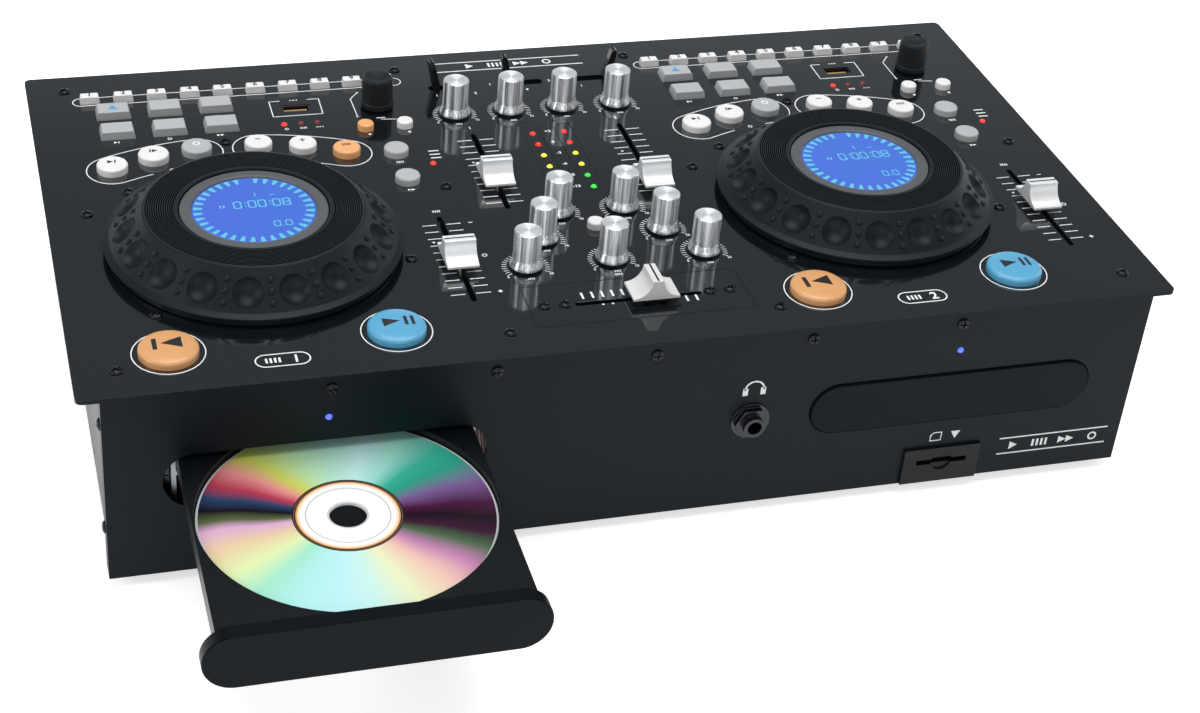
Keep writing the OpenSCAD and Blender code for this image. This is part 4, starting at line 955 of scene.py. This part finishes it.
class PLAYER_OT_displays(Piece, bpy.types.Operator):
    """Fixed displays in the middle of the jog wheels"""
    bl_idname = "player.displays"
    bl_label = "Displays"

    def execute(self, context):
        ring = turned([(29.1, 0), (37.1, 0), (37.1, 1.5), (32.1, 1.5), (32.1, 18.5), (31.9, 19.0),
                       (31.4, 19.2), (27.9, 19.2), (27.3, 19.05), (26.95, 18.7), (26.8, 18.2),
                       (26.8, 17.8), (26.0, 17.8), (26.0, 16.3), (29.1, 16.3)],
                      steps=128, hollow=True)
        glass = turned([(26.75, 17.2), (26.75, 18.2), (26.5, 18.4)], steps=128)
        marks = self.marks()
        for side in SIDES:
            place = at(*middle("jog_wheel_" + side))
            # one frame node holds both sides
            for shape, name, finish, node in ((ring, "bezel_", "bezel", "display_posts"),
                                              (glass, "display_", "screen", "display_screens")):
                done(again(shape), name + side, finish, place=place,
                     replaces=(node,) if side == "left" else ())
            done(again(marks), "display_marks_" + side, "segments", place=place, weld=0)
        drop(ring, glass, marks)
        return {"FINISHED"}

    def mark(self, x, y, l, w, upright):
        """One flat mark with pointed ends."""
        a, b = l / 2, w / 2
        points = [(-a, 0), (b - a, -b), (a - b, -b), (a, 0), (a - b, b), (b - a, b)]
        return flat([(x + q, y + p) if upright else (x + p, y + q) for p, q in points], 0.05)

    def digit(self, text, x, y, h, w, t):
        """A figure 0 or 8 of long marks."""
        levels = (-h / 2, h / 2) if text == "0" else (-h / 2, 0, h / 2)
        return [self.mark(x, y + d, w - 0.1, t, False) for d in levels] + [
            self.mark(x + s * w / 2, y + d * h / 4, h / 2 - 0.1, t, True)
            for s in (-1, 1) for d in (-1, 1)]

    def marks(self):
        """Wedges round the edge with a gap at the back, the time, a pause sign and the speed."""
        out = []
        for i in range(35):
            turns = [(r, math.radians(100 + i * 10 + d))
                     for r, d in ((22.2, -1.5), (26.0, -2.6), (26.0, 2.6), (22.2, 1.5))]
            out.append(flat([(r * math.cos(t), r * math.sin(t)) for r, t in turns], 0.05))
        x = -6.6
        for ch in "0:00:08":
            if ch == ":":
                out += [bar(x - 1.1, y - 0.35, x - 0.4, y + 0.35, 0.05) for y in (3.3, 5.9)]
                x += 2.0
            else:
                out += self.digit(ch, x, 4.6, 5.4, 3.0, 0.72)
                x += 4.35
        for x in (8.0, 13.0):
            out += self.digit("0", x, -12.6, 4.2, 2.5, 0.62)
        # the speed's point, two small marks over the time and the pause sign
        out += [bar(*corners, 0.05) for corners in (
            (10.2, -14.9, 10.8, -14.3), (1.9, 10.8, 2.4, 13.8), (8.4, 11.0, 11.0, 11.5),
            (-14.4, 3.0, -13.65, 5.2), (-12.9, 3.0, -12.15, 5.2))]
        return shift(join(out), z=18.4)


# ------------------------------------------------------------------ keys
def arc_key(i, hand):
    """Middle of a loop key (hand 1) or a speed key (hand -1) on their common arc."""
    x, y, r = KEY_ARC
    a = math.radians(90 + hand * ARC_ANGLES[i])
    return x + r * math.cos(a), y + r * math.sin(a)


class PLAYER_OT_keys(Piece, bpy.types.Operator):
    """Round, square and oblong keys of both decks and the mixer"""
    bl_idname = "player.keys"
    bl_label = "Keys"

    def execute(self, context):
        for side, off in SIDES.items():
            made = {}
            for name, finish, width in (("track_keys", "key_white", 1.1),
                                        ("function_keys", "key_grey", 1.5),
                                        ("loop_keys", "key_white", 1.0),
                                        ("bend_keys", "key_white", 1.0),
                                        ("mode_keys", "key_grey", 0.6)):
                node = f"{name}_{side}"
                made[name] = refined(node, node + "_caps", finish, node + "_body", width, 3)
            # the lit keys glow pale orange on the left deck, where they are on
            lit = "pale_orange" if side == "left" else "key_white"
            for name, finish, (x, y), r in (("loop_keys", "key_grey", arc_key(0, 1), 9.5),
                                            ("bend_keys", lit, arc_key(2, -1), 9.5),
                                            ("mode_keys", "key_white", (173.4, 195.8), 6),
                                            ("mode_keys", lit, (154.3, 195.8), 6)):
                paint(made[name], finish, near(x + off, y, r))
            self.marks(side, off)
        refined("fader_start_key", "fader_start_cap", "key_white", "fader_start_key_body")
        r = 12.4
        cap = turned([(r, -4.5), (r, 1.8), (r - 0.1, 2.3), (r - 0.42, 2.8), (r - 1.0, 3.2),
                      (r - 2.0, 3.5), (r - 3.6, 3.75), (r * 0.5, 3.93), (r * 0.25, 4.05),
                      (0.02, 4.08)], steps=72)
        for key, finish, kind, size in (("cue_key", "cue", "back", 8.6),
                                        ("play_key", "play", "play_pause", 7.2)):
            # the sign follows the dome
            mark = cut(sign(kind, size, size * 0.15, 1.4, 5.0, 2.5), again(cap, z=0.05),
                       operation="INTERSECT")
            for side in SIDES:
                node = f"{key}_{side}"
                place = at(*middle(node))
                done(again(cap), node + "_cap", finish, node + "_body", (node,), place)
                done(again(mark), node + "_sign", "dark_ink", node + "_body", place=place,
                     weld=0)
            drop(mark)
        drop(cap)
        return {"FINISHED"}

    def marks(self, side, off):
        """Figures and signs on the keys, each riding on its own moulding."""
        def lay(name, finish, *rows):
            node = f"{name}_{side}"
            z = box(node)[1].z
            laid(printed(*((*row, z) for row in rows)), f"{node}_{finish}", finish,
                 node + "_body", at(off, 0))

        def on_arc(kind, size, i, hand):
            x, y = arc_key(i, hand)
            return kind, size, x, y + 1.5

        lay("track_keys", "dark_ink", *((str(i + 1), 3.2, 28.8 + 15.9 * i, 240.4)
                                        for i in range(10)))
        lay("function_keys", "blue_ink", ("up", 4.6, 38.2, 226.2))
        lay("loop_keys", "dark_ink", on_arc("out", 3.0, 1, 1), on_arc("into", 3.0, 2, 1))
        lay("loop_keys", "ink", on_arc("ring", 3.4, 0, 1))
        lay("bend_keys", "dark_ink", on_arc("minus", 2.6, 0, -1), on_arc("plus", 2.6, 1, -1),
            on_arc("bars", 2.2, 2, -1))


# ------------------------------------------------------------------ printing
class PLAYER_OT_printing(Piece, bpy.types.Operator):
    """White lines, ticks, figures and signs on the top, the front and the back"""
    bl_idname = "player.printing"
    bl_label = "Printing"

    def execute(self, context):
        w, tick = sized().print_line / MM, sized().tick_line / MM
        deck = join(self.outlines(w) + self.pitch_scale(tick) + self.deck_signs())
        white = [deck, again(deck, PITCH)]
        white += self.dials(tick) + self.channel_scales(tick) + self.mixer_signs()
        white.append(shift(join(self.front_signs()), y=2.0, turn=90, axis="X"))
        # figures over the phono sockets and round the power switch
        for text, x, z in (*((text, x, -36.5) for text, x in zip("4321", PHONO_X)),
                           ("ON", 195, -45), ("OFF", 195, -76)):
            label = shift(number(text, 3.0), turn=90, axis="X")
            white.append(shift(label, x, BACK_WALL, z, turn=180))
        laid(white, "panel_print", "ink")
        # frames of the level meters, and the dark field behind the crossfader's signs
        dark = [line(rounded(x - 4.3, 124.2, x + 4.3, 190.4, 1.6), 0.4)
                for x in (MIXER - 8.0, MIXER + 8.0)]
        dark.append(bar(MIXER - 5.2, 24.9, MIXER + 17.4, 31.0, 0.34))
        # the joint round the crossfader's cover
        low, high = box("crossfader_plate")
        dark.append(line(rounded(low.x, low.y, high.x, high.y, 1.0), 0.5, 0.03))
        laid(dark, "dark_print", "black")
        return {"FINISHED"}

    def outlines(self, w):
        """The lines round the keys of one deck."""
        x, y, r = KEY_ARC
        r, half = r - 0.7, 12.0
        near_end, far_end = 90 + ARC_ANGLES[0], 90 + ARC_ANGLES[2]

        def end(a, start):
            turn = math.radians(a)
            place = x + r * math.cos(turn), y + r * math.sin(turn)
            return arc(*place, half, start, start + 180, 14)

        # round the loop keys, left open below for their sign
        loop = (arc(x, y, r - half, near_end + 3, near_end, 3) + end(near_end, near_end + 180)
                + arc(x, y, r + half, near_end, far_end, 14) + end(far_end, far_end)
                + arc(x, y, r - half, far_end, near_end + 11.7, 6))
        # round the speed keys
        first, last = 180 - far_end, 180 - near_end
        bend = (arc(x, y, r + half, first, last, 14) + end(last, last)
                + arc(x, y, r - half, last, first, 14) + end(first, first + 180))
        track = arc(176.9, 239.8, 3.7, -90, 90) + arc(24.5, 239.8, 3.7, 90, 270)
        lines = [loop, bend, track + track[:1],
                 # the frame of the small socket, open where its sign stands
                 [(118.2, 227.8), (113, 227.8)], [(113, 228.1), (112.8, 212.5)],
                 [(112.5, 212.8), (137.1, 212.8)], [(136.8, 212.5), (137.3, 228.1)],
                 [(137.3, 227.8), (131.6, 227.8)],
                 # from the browse knob to the small keys
                 [(157.0, 231.0), (152.6, 225.4), (152.7, 207.6)],
                 [(163.3, 203.5), (170.7, 202.5)]]
        lines += [arc(a, 26.9, 14.92, 0, 360, 48) for a in (39.6, 133.6)]
        return [line(p, w) for p in lines] + printed(("dot", 2.0, 157.0, 231.0),
                                                     ("dot", 2.0, 152.7, 207.6))

    def front_signs(self):
        """Signs of the front panel, drawn with their height along y."""
        x, y = 379.0, -69.3
        return [line(arc(286.9, -31.6, 4.4, 0, 180, 14), 0.8),
                bar(281.6, -34.4, 284.0, -30.6), bar(289.8, -34.4, 292.2, -30.6),
                line([(x - 2.6, y - 2.2), (x + 2.6, y - 2.2), (x + 2.6, y + 2.2),
                      (x - 1.2, y + 2.2), (x - 2.6, y + 0.8), (x - 2.6, y - 2.2)], 0.6),
                sign("down", 4.6, 388.5, -69.3), *self.plaque(412, 467, -79.5)]

    def plaque(self, x0, x1, y):
        """Two long lines with plain signs between them."""
        x = (x0 + x1) / 2
        return [bar(x0, y + s * 4.4 - 0.35, x1, y + s * 4.4 + 0.35) for s in (-1, 1)] + printed(
            ("play", 4.4, x - 20.25, y), ("bars", 4.4, x - 6.75, y), ("next", 4.4, x + 6.75, y),
            ("ring", 4.4, x + 20.25, y))

    def scale(self, w, top, step, *spans):
        """Eleven rows of ticks down from top, each row over the given spans."""
        return [bar(x0, y - w / 2, x1, y + w / 2)
                for y in (top - i * step for i in range(11)) for x0, x1 in spans]

    def pitch_scale(self, w):
        """Ticks and signs beside a pitch fader."""
        return self.scale(w, 105.1, 5.63, (161.8, 168.2), (172.8, 179.4)) + printed(
            ("down", 1.6, 163.9, 90.9), ("minus", 2.0, 184.0, 105.1), ("ring", 2.4, 183.7, 77.6),
            ("plus", 2.2, 183.6, 48.8), ("bars", 2.0, 170.8, 116.5))

    def channel_scales(self, w):
        """Ticks and signs beside the channel faders."""
        made = []
        for x, text in ((MIXER - 36.6, "1"), (MIXER + 36.6, "2")):
            made += self.scale(w, 177.1, 5.75, (x - 9.0, x - 1.9), (x + 1.9, x + 8.6))
            made += printed(("down", 1.5, x - 6.0, 156.4), (text, 2.4, x, 188.7))
        return made

    def deck_signs(self):
        """Plain signs under the keys of one deck."""
        return printed(
            ("eject", 2.0, 37.3, 217.3), ("dots", 2.0, 61.7, 217.4), ("bars", 1.9, 85.8, 217.5),
            ("into", 1.9, 37.4, 199.2), ("ring", 2.0, 61.8, 199.1), ("next", 1.9, 85.7, 199.3),
            ("ring", 1.9, 117.2, 200.4), ("bars", 1.7, 125.2, 200.4), ("dots", 1.7, 133.2, 200.4),
            ("dots", 1.9, 124.9, 227.8), ("down", 1.9, 155.2, 189.5), ("left", 1.9, 174.2, 189.6),
            ("bars", 1.9, 164.0, 162.2), ("next", 1.9, 164.0, 136.9), ("ring", 2.2, 59.4, 170.6),
            ("wide", 2.4, 163.6, 204.9), ("wide", 2.8, 181.6, 163.6), ("wide", 2.8, 181.6, 166.8),
            ("wide", 2.8, 181.6, 170.0))

    def dials(self, w):
        """A ring of ticks round each knob, with 0 and 10 at its ends."""
        ticks = []
        for i in range(25):
            a = math.radians(-30 + i * 10)
            reach = 11.2 if i % 12 == 0 else 10.7
            ticks.append(line([(r * math.cos(a), r * math.sin(a)) for r in (8.5, reach)],
                              w * 0.66))
        dial = join(ticks + printed(("0", 1.5, -9.6, -6.9), ("10", 1.5, 9.7, -6.9),
                                    ("bars", 1.6, 0, -9.6)))
        made = [again(dial, *middle(node)) for node in KNOBS]
        drop(dial)
        return made

    def mixer_signs(self):
        """Figures and signs of the mixer, and the decks' numbers."""
        x = MIXER
        made = printed(*((text, 2.1, x, 180.4 - i * METER_STEP)
                         for i, text in enumerate(("+3", "0", "-3", "-6", "-10", "-13"))))
        # crossfader scale over and under its slot
        for low, high, places in ((37.2, 41.8, (217.4, 221.9, 226.4, 230.9, 235.4)),
                                  (28.2, 32.4, (252.9, 257.4, 261.9, 266.4)),
                                  (31.2, 32.2, (224.6, 229.0))):
            made += [bar(a - 0.5, low, a + 0.5, high) for a in places]
        made += printed(("left", 2.8, x + 2.2, 27.9, 0.3), ("play", 2.8, x + 10.4, 27.9, 0.3),
                        ("dots", 2.2, x + 6.2, 27.9, 0.3), ("1", 2.0, 195.4, 222.6),
                        ("2", 2.0, 214.9, 222.6), ("1", 2.0, 224.2, 230.4),
                        ("2", 2.0, 254.6, 230.4), ("1", 2.0, 269.6, 222.6),
                        ("2", 2.0, 287.0, 222.6), ("dot", 2.4, 241.5, 222.9),
                        ("bars", 1.8, 238.1, 53.4))
        # the decks' numbers
        for n, x in (("1", 84.0), ("2", 84.0 + PITCH)):
            pill = arc(x + 7, 14.5, 4.2, -90, 90, 10) + arc(x - 7, 14.5, 4.2, 90, 270, 10)
            made.append(line(pill + pill[:1], 0.6))
            made += printed((n, 5.0, x + 5.5, 14.3), ("bars", 3.6, x - 4.0, 14.5))
        return made + self.plaque(200, 277, 250.6)


# ------------------------------------------------------------------ knobs, faders and levers
class PLAYER_OT_knobs(Piece, bpy.types.Operator):
    """Turned metal knobs of the mixer and fluted rubber browse knobs"""
    bl_idname = "player.knobs"
    bl_label = "Knobs"

    def execute(self, context):
        knob = turned([(3.0, -10.5), (3.0, 2.0), (5.6, 2.0), (5.6, 1.2), (7.0, 1.2), (7.35, 1.35),
                       (7.4, 1.7), (7.4, 2.5), (7.2, 2.75), (6.5, 5.0), (6.4, 5.2), (5.9, 5.3),
                       (5.9, 5.65), (6.2, 5.75), (6.2, 18.4), (6.1, 18.75), (5.8, 18.98),
                       (5.4, 19.0), (3.5, 18.96), (1.0, 18.93), (0.02, 18.92)], steps=120)
        for node in KNOBS:
            grip = done(again(knob), node + "_grip", "metal", node + "_body", (node,),
                        at(*middle(node)), angle=26)
            paint(grip, "spun", lambda c, n: n.z > 0.9 and c.z > 15)
        rubber = self.fluted()
        for side in SIDES:
            node = "browse_knob_" + side
            done(again(rubber), node + "_grip", "rubber", node + "_body", (node,),
                 at(*middle(node)))
        drop(knob, rubber)
        return {"FINISHED"}

    def fluted(self):
        """A browse knob, with grooves between ribs pressed into its wall."""
        n = sized().flutes * 4
        knob = turned([(3.0, -10.5), (3.0, 2.0), (6.5, 2.0), (6.5, 1.0), (7.8, 1.0), (7.9, 1.3),
                       (7.9, 3.4), (7.5, 3.9), (7.45, 4.2), (7.3, 14.9), (7.1, 15.6),
                       (6.6, 16.15), (5.9, 16.3), (5.4, 16.15), (4.0, 15.5), (2.0, 15.1),
                       (0.02, 15.0)], steps=n)
        for v in knob.data.vertices:
            r, z = math.hypot(v.co.x, v.co.y), v.co.z / MM
            i = round(math.atan2(v.co.y, v.co.x) / (2 * math.pi / n))
            if r > 6 * MM and 4.0 < z < 15.7 and i % 4 > 2:
                v.co.x *= 0.98
                v.co.y *= 0.98
        return knob


class PLAYER_OT_faders(Piece, bpy.types.Operator):
    """Fader caps with a ridge, hollow flanks and a dark middle line"""
    bl_idname = "player.faders"
    bl_label = "Faders"

    def execute(self, context):
        l, w, base, top = 21.0, 14.3, 3.2, 12.8
        ridge, foot = 2.6, 1.5
        # outline of the side, drawn once and pushed across
        curve = [(ridge + (l / 2 - ridge) * (1 - math.sin(math.radians(a))),
                  base + foot + (top - base - foot) * (1 - math.cos(math.radians(a))))
                 for a in range(0, 91, 6)]
        side = [(-l / 2, base), (l / 2, base)] + curve + [(-y, z) for y, z in reversed(curve)]
        for node, turn, finish in (("pitch_fader_left", 0, "cap"), ("pitch_fader_right", 0, "cap"),
                                   ("channel_fader_1", 0, "cap"), ("channel_fader_2", 0, "cap"),
                                   ("crossfader", 90, "matt_cap")):
            cap = bevel(prism([(-w / 2, y, z) for y, z in side], (w, 0, 0)), 0.45, 3, 50)
            stem = block(2.0, 6.0, 16.0, z=-10.7)
            middle_line = bevel(block(w - 0.8, 0.9, 0.6, z=12.25), 0.08)
            place = at(*middle(node))
            done(shift(join([cap, stem]), turn=turn), node + "_cap", finish, node + "_body",
                 (node,), place, angle=40)
            done(shift(middle_line, turn=turn), node + "_line", "black", node + "_body",
                 place=place)
        return {"FINISHED"}


class PLAYER_OT_levers(Piece, bpy.types.Operator):
    """Flat tapered levers of the three selector switches"""
    bl_idname = "player.levers"
    bl_label = "Levers"

    def execute(self, context):
        for node in ("source_switch_1", "cue_switch", "source_switch_2"):
            refined(node, node + "_bat", "gloss_black", node + "_lever", 0.45, 3)
        return {"FINISHED"}


# ------------------------------------------------------------------ sockets and lamps
class PLAYER_OT_sockets(Piece, bpy.types.Operator):
    """Headphone jack, card slot, the small sockets on the top and those in the back"""
    bl_idname = "player.sockets"
    bl_label = "Sockets"

    def execute(self, context):
        refined("headphone_jack", "phones_jack", "black_nickel", width=0.3)
        ports = refined("media_sockets", "media_ports", "nickel", width=0.15)
        paint(ports, "black", lambda c, n: c.z < CARD_SLOT_TOP)
        # on each deck a black slot with a tan tongue in it
        for d in SIDES.values():
            x, y = DECK_SOCKET[0] + d, DECK_SOCKET[1]
            paint(ports, "black", lambda c, n: abs(c.x - x) < 6.3 and abs(c.y - y) < 2.7
                  and c.z > -30)
            paint(ports, "tongue", lambda c, n: n.z > 0.9 and abs(c.x - x) < 5.7
                  and 0.1 < c.y - y < 2.0 and c.z > -16)
        self.back()
        dress("black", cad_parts["power_switch"])
        return {"FINISHED"}

    def back(self):
        """Sockets in the back wall: black mouldings, plated shells and coloured insulators."""
        back = refined("rear_sockets", "back_sockets", "black", width=0.2)
        # phono shells and the microphone jack stand out of the wall, a plated ring lies inside
        outside, inside = (0.05, 99), (-16.5, -3.9)
        phono = [(x, z, 4.4, outside) for x in PHONO_X for z in PHONO_Z]
        plated = phono + [(255, -53, 8.5, outside), (150, -59, 9.2, inside)]
        paint(back, "nickel", lambda c, n: any(
            low < c.y - BACK_WALL < high and math.hypot(c.x - x, c.z - z) < r
            for x, z, r, (low, high) in plated))
        ring = turned([(1.7, 0), (3.2, 0), (3.2, 5.6), (1.7, 5.6)], steps=32, hollow=True)
        shift(ring, turn=-90, axis="X")
        for finish, z in zip(("white_abs", "red_abs"), PHONO_Z):
            rings = [again(ring, x, 0, z) for x in PHONO_X]
            done(join(rings), "phono_" + finish, finish, place=at(0, BACK_WALL + 1.2))
        drop(ring)


class PLAYER_OT_lamps(Piece, bpy.types.Operator):
    """Round lamps of the decks, the level meters and the trays"""
    bl_idname = "player.lamps"
    bl_label = "Lamps"

    def execute(self, context):
        dome = turned([(1.5, -6), (1.5, -0.4), (1.42, 0.0), (1.2, 0.4), (0.8, 0.72), (0.3, 0.87),
                       (0.02, 0.9)], steps=24)
        groups = {finish: [] for finish in ("red_lit", "red", "yellow", "green", "blue_lens")}
        # source and mode lamps of the decks: the first source and the mode are on
        spots = [(x, SOURCE_LAMPS_Y) for x in SOURCE_LAMPS] + [MODE_LAMP]
        for finish, (x, y) in zip(("red_lit", "red", "red", "red_lit"), spots):
            groups[finish] += [again(dome, x + d, y) for d in SIDES.values()]
        # the twin level meter, from its top down
        for x in (MIXER - 7.8, MIXER + 7.8):
            for i, finish in enumerate(("red_lit", "red_lit", "yellow", "yellow", "green",
                                        "green")):
                groups[finish].append(again(dome, x, 179 - i * METER_STEP))
        # a tray lamp under each deck, in the front
        groups["blue_lens"] = [again(dome, 100.8 + d, 2, -22, 90, "X") for d in SIDES.values()]
        for finish, made in groups.items():
            done(join(made), "lamps_" + finish, finish, place=CORNER,
                 replaces=("indicator_lamps",) if finish == "red_lit" else ())
        drop(dome)
        return {"FINISHED"}


# ------------------------------------------------------------------ trays and disc
class PLAYER_OT_trays(Piece, bpy.types.Operator):
    """Disc trays with their doors, and the bracket and ribbon cable inside the left mouth"""
    bl_idname = "player.trays"
    bl_label = "Trays"

    def execute(self, context):
        for side in SIDES:
            body = f"tray_{side}_carriage"
            refined("tray_" + side, f"tray_{side}_moulding", "tray", body, 0.35)
            refined("tray_door_" + side, f"door_{side}", "door", body, 0.3, 3, 25)
        # folded bracket at the left end of the mouth
        leg, arms = block(3.0, 1.0, 17, z=-8.5), [block(3.4, 6.0, 1.0) for i in range(2)]
        for arm, z in zip(arms, (-4.5, 3.0)):
            shift(arm, 0, 2.5, z)
        done(bevel(join([leg, *arms]), 0.15), "mouth_bracket", "black_nickel",
             place=at(34.9, 9.6, -44.5))
        # the drive's ribbon cable at its right end, turned down and aside
        strip = bevel(bar(-5.0, 0, 5.0, 20, 0.9), 0.2)
        shift(shift(strip, turn=52, axis="X"), turn=-14, axis="Y")
        done(strip, "drive_ribbon", "ribbon", place=at(170.3, 9.6, -56))
        return {"FINISHED"}


class PLAYER_OT_disc(Piece, bpy.types.Operator):
    """Disc with its data zone, clear rim and hub rings"""
    bl_idname = "player.disc"
    bl_label = "Disc"

    def execute(self, context):
        plate = turned([(7.5, 0), (59.6, 0), (DISC_R, 0.25), (DISC_R, 0.95), (59.6, 1.2),
                        (MIRROR_FROM, 1.2), (21.9, 1.14), (21.0, 1.14), (20.7, 1.2), (16.9, 1.2),
                        (16.7, 1.17), (16.5, 1.2), (7.9, 1.2), (7.5, 1.1)], steps=180,
                       hollow=True)
        done(plate, "disc_plate", "mirror", "disc_body", ("disc",), DISC, angle=14)
        return {"FINISHED"}


# ------------------------------------------------------------------ panel and running order
OPERATORS = (PLAYER_OT_stage, PLAYER_OT_case, PLAYER_OT_screws, PLAYER_OT_jog_wheels,
             PLAYER_OT_displays, PLAYER_OT_keys, PLAYER_OT_printing, PLAYER_OT_knobs,
             PLAYER_OT_faders, PLAYER_OT_levers, PLAYER_OT_sockets, PLAYER_OT_lamps,
             PLAYER_OT_trays, PLAYER_OT_disc)


class PLAYER_PT_sidebar(bpy.types.Panel):
    """The player's pieces, sizes and colours"""
    bl_idname = "PLAYER_PT_sidebar"
    bl_label = "Twin disc player"
    bl_space_type = "VIEW_3D"
    bl_region_type = "UI"
    bl_category = "Player"

    def draw(self, context):
        for op in OPERATORS:
            self.layout.operator(op.bl_idname)
        for group in (sized(), tinted()):
            for name in group.bl_rna.properties.keys():
                if name not in ("rna_type", "name"):
                    self.layout.prop(group, name)


CLASSES = (PlayerSizes, PlayerColours, *OPERATORS, PLAYER_PT_sidebar)


def register():
    for c in CLASSES:
        bpy.utils.register_class(c)
    bpy.types.Scene.player_sizes = PointerProperty(type=PlayerSizes)
    bpy.types.Scene.player_colours = PointerProperty(type=PlayerColours)


def unregister():
    del bpy.types.Scene.player_sizes
    del bpy.types.Scene.player_colours
    for c in reversed(CLASSES):
        bpy.utils.unregister_class(c)


def main():
    register()
    for op in OPERATORS:
        group, name = op.bl_idname.split(".")
        if getattr(getattr(bpy.ops, group), name)() != {"FINISHED"}:
            raise RuntimeError(op.bl_label + " didn't finish")


if __name__ == "__main__":
    main()
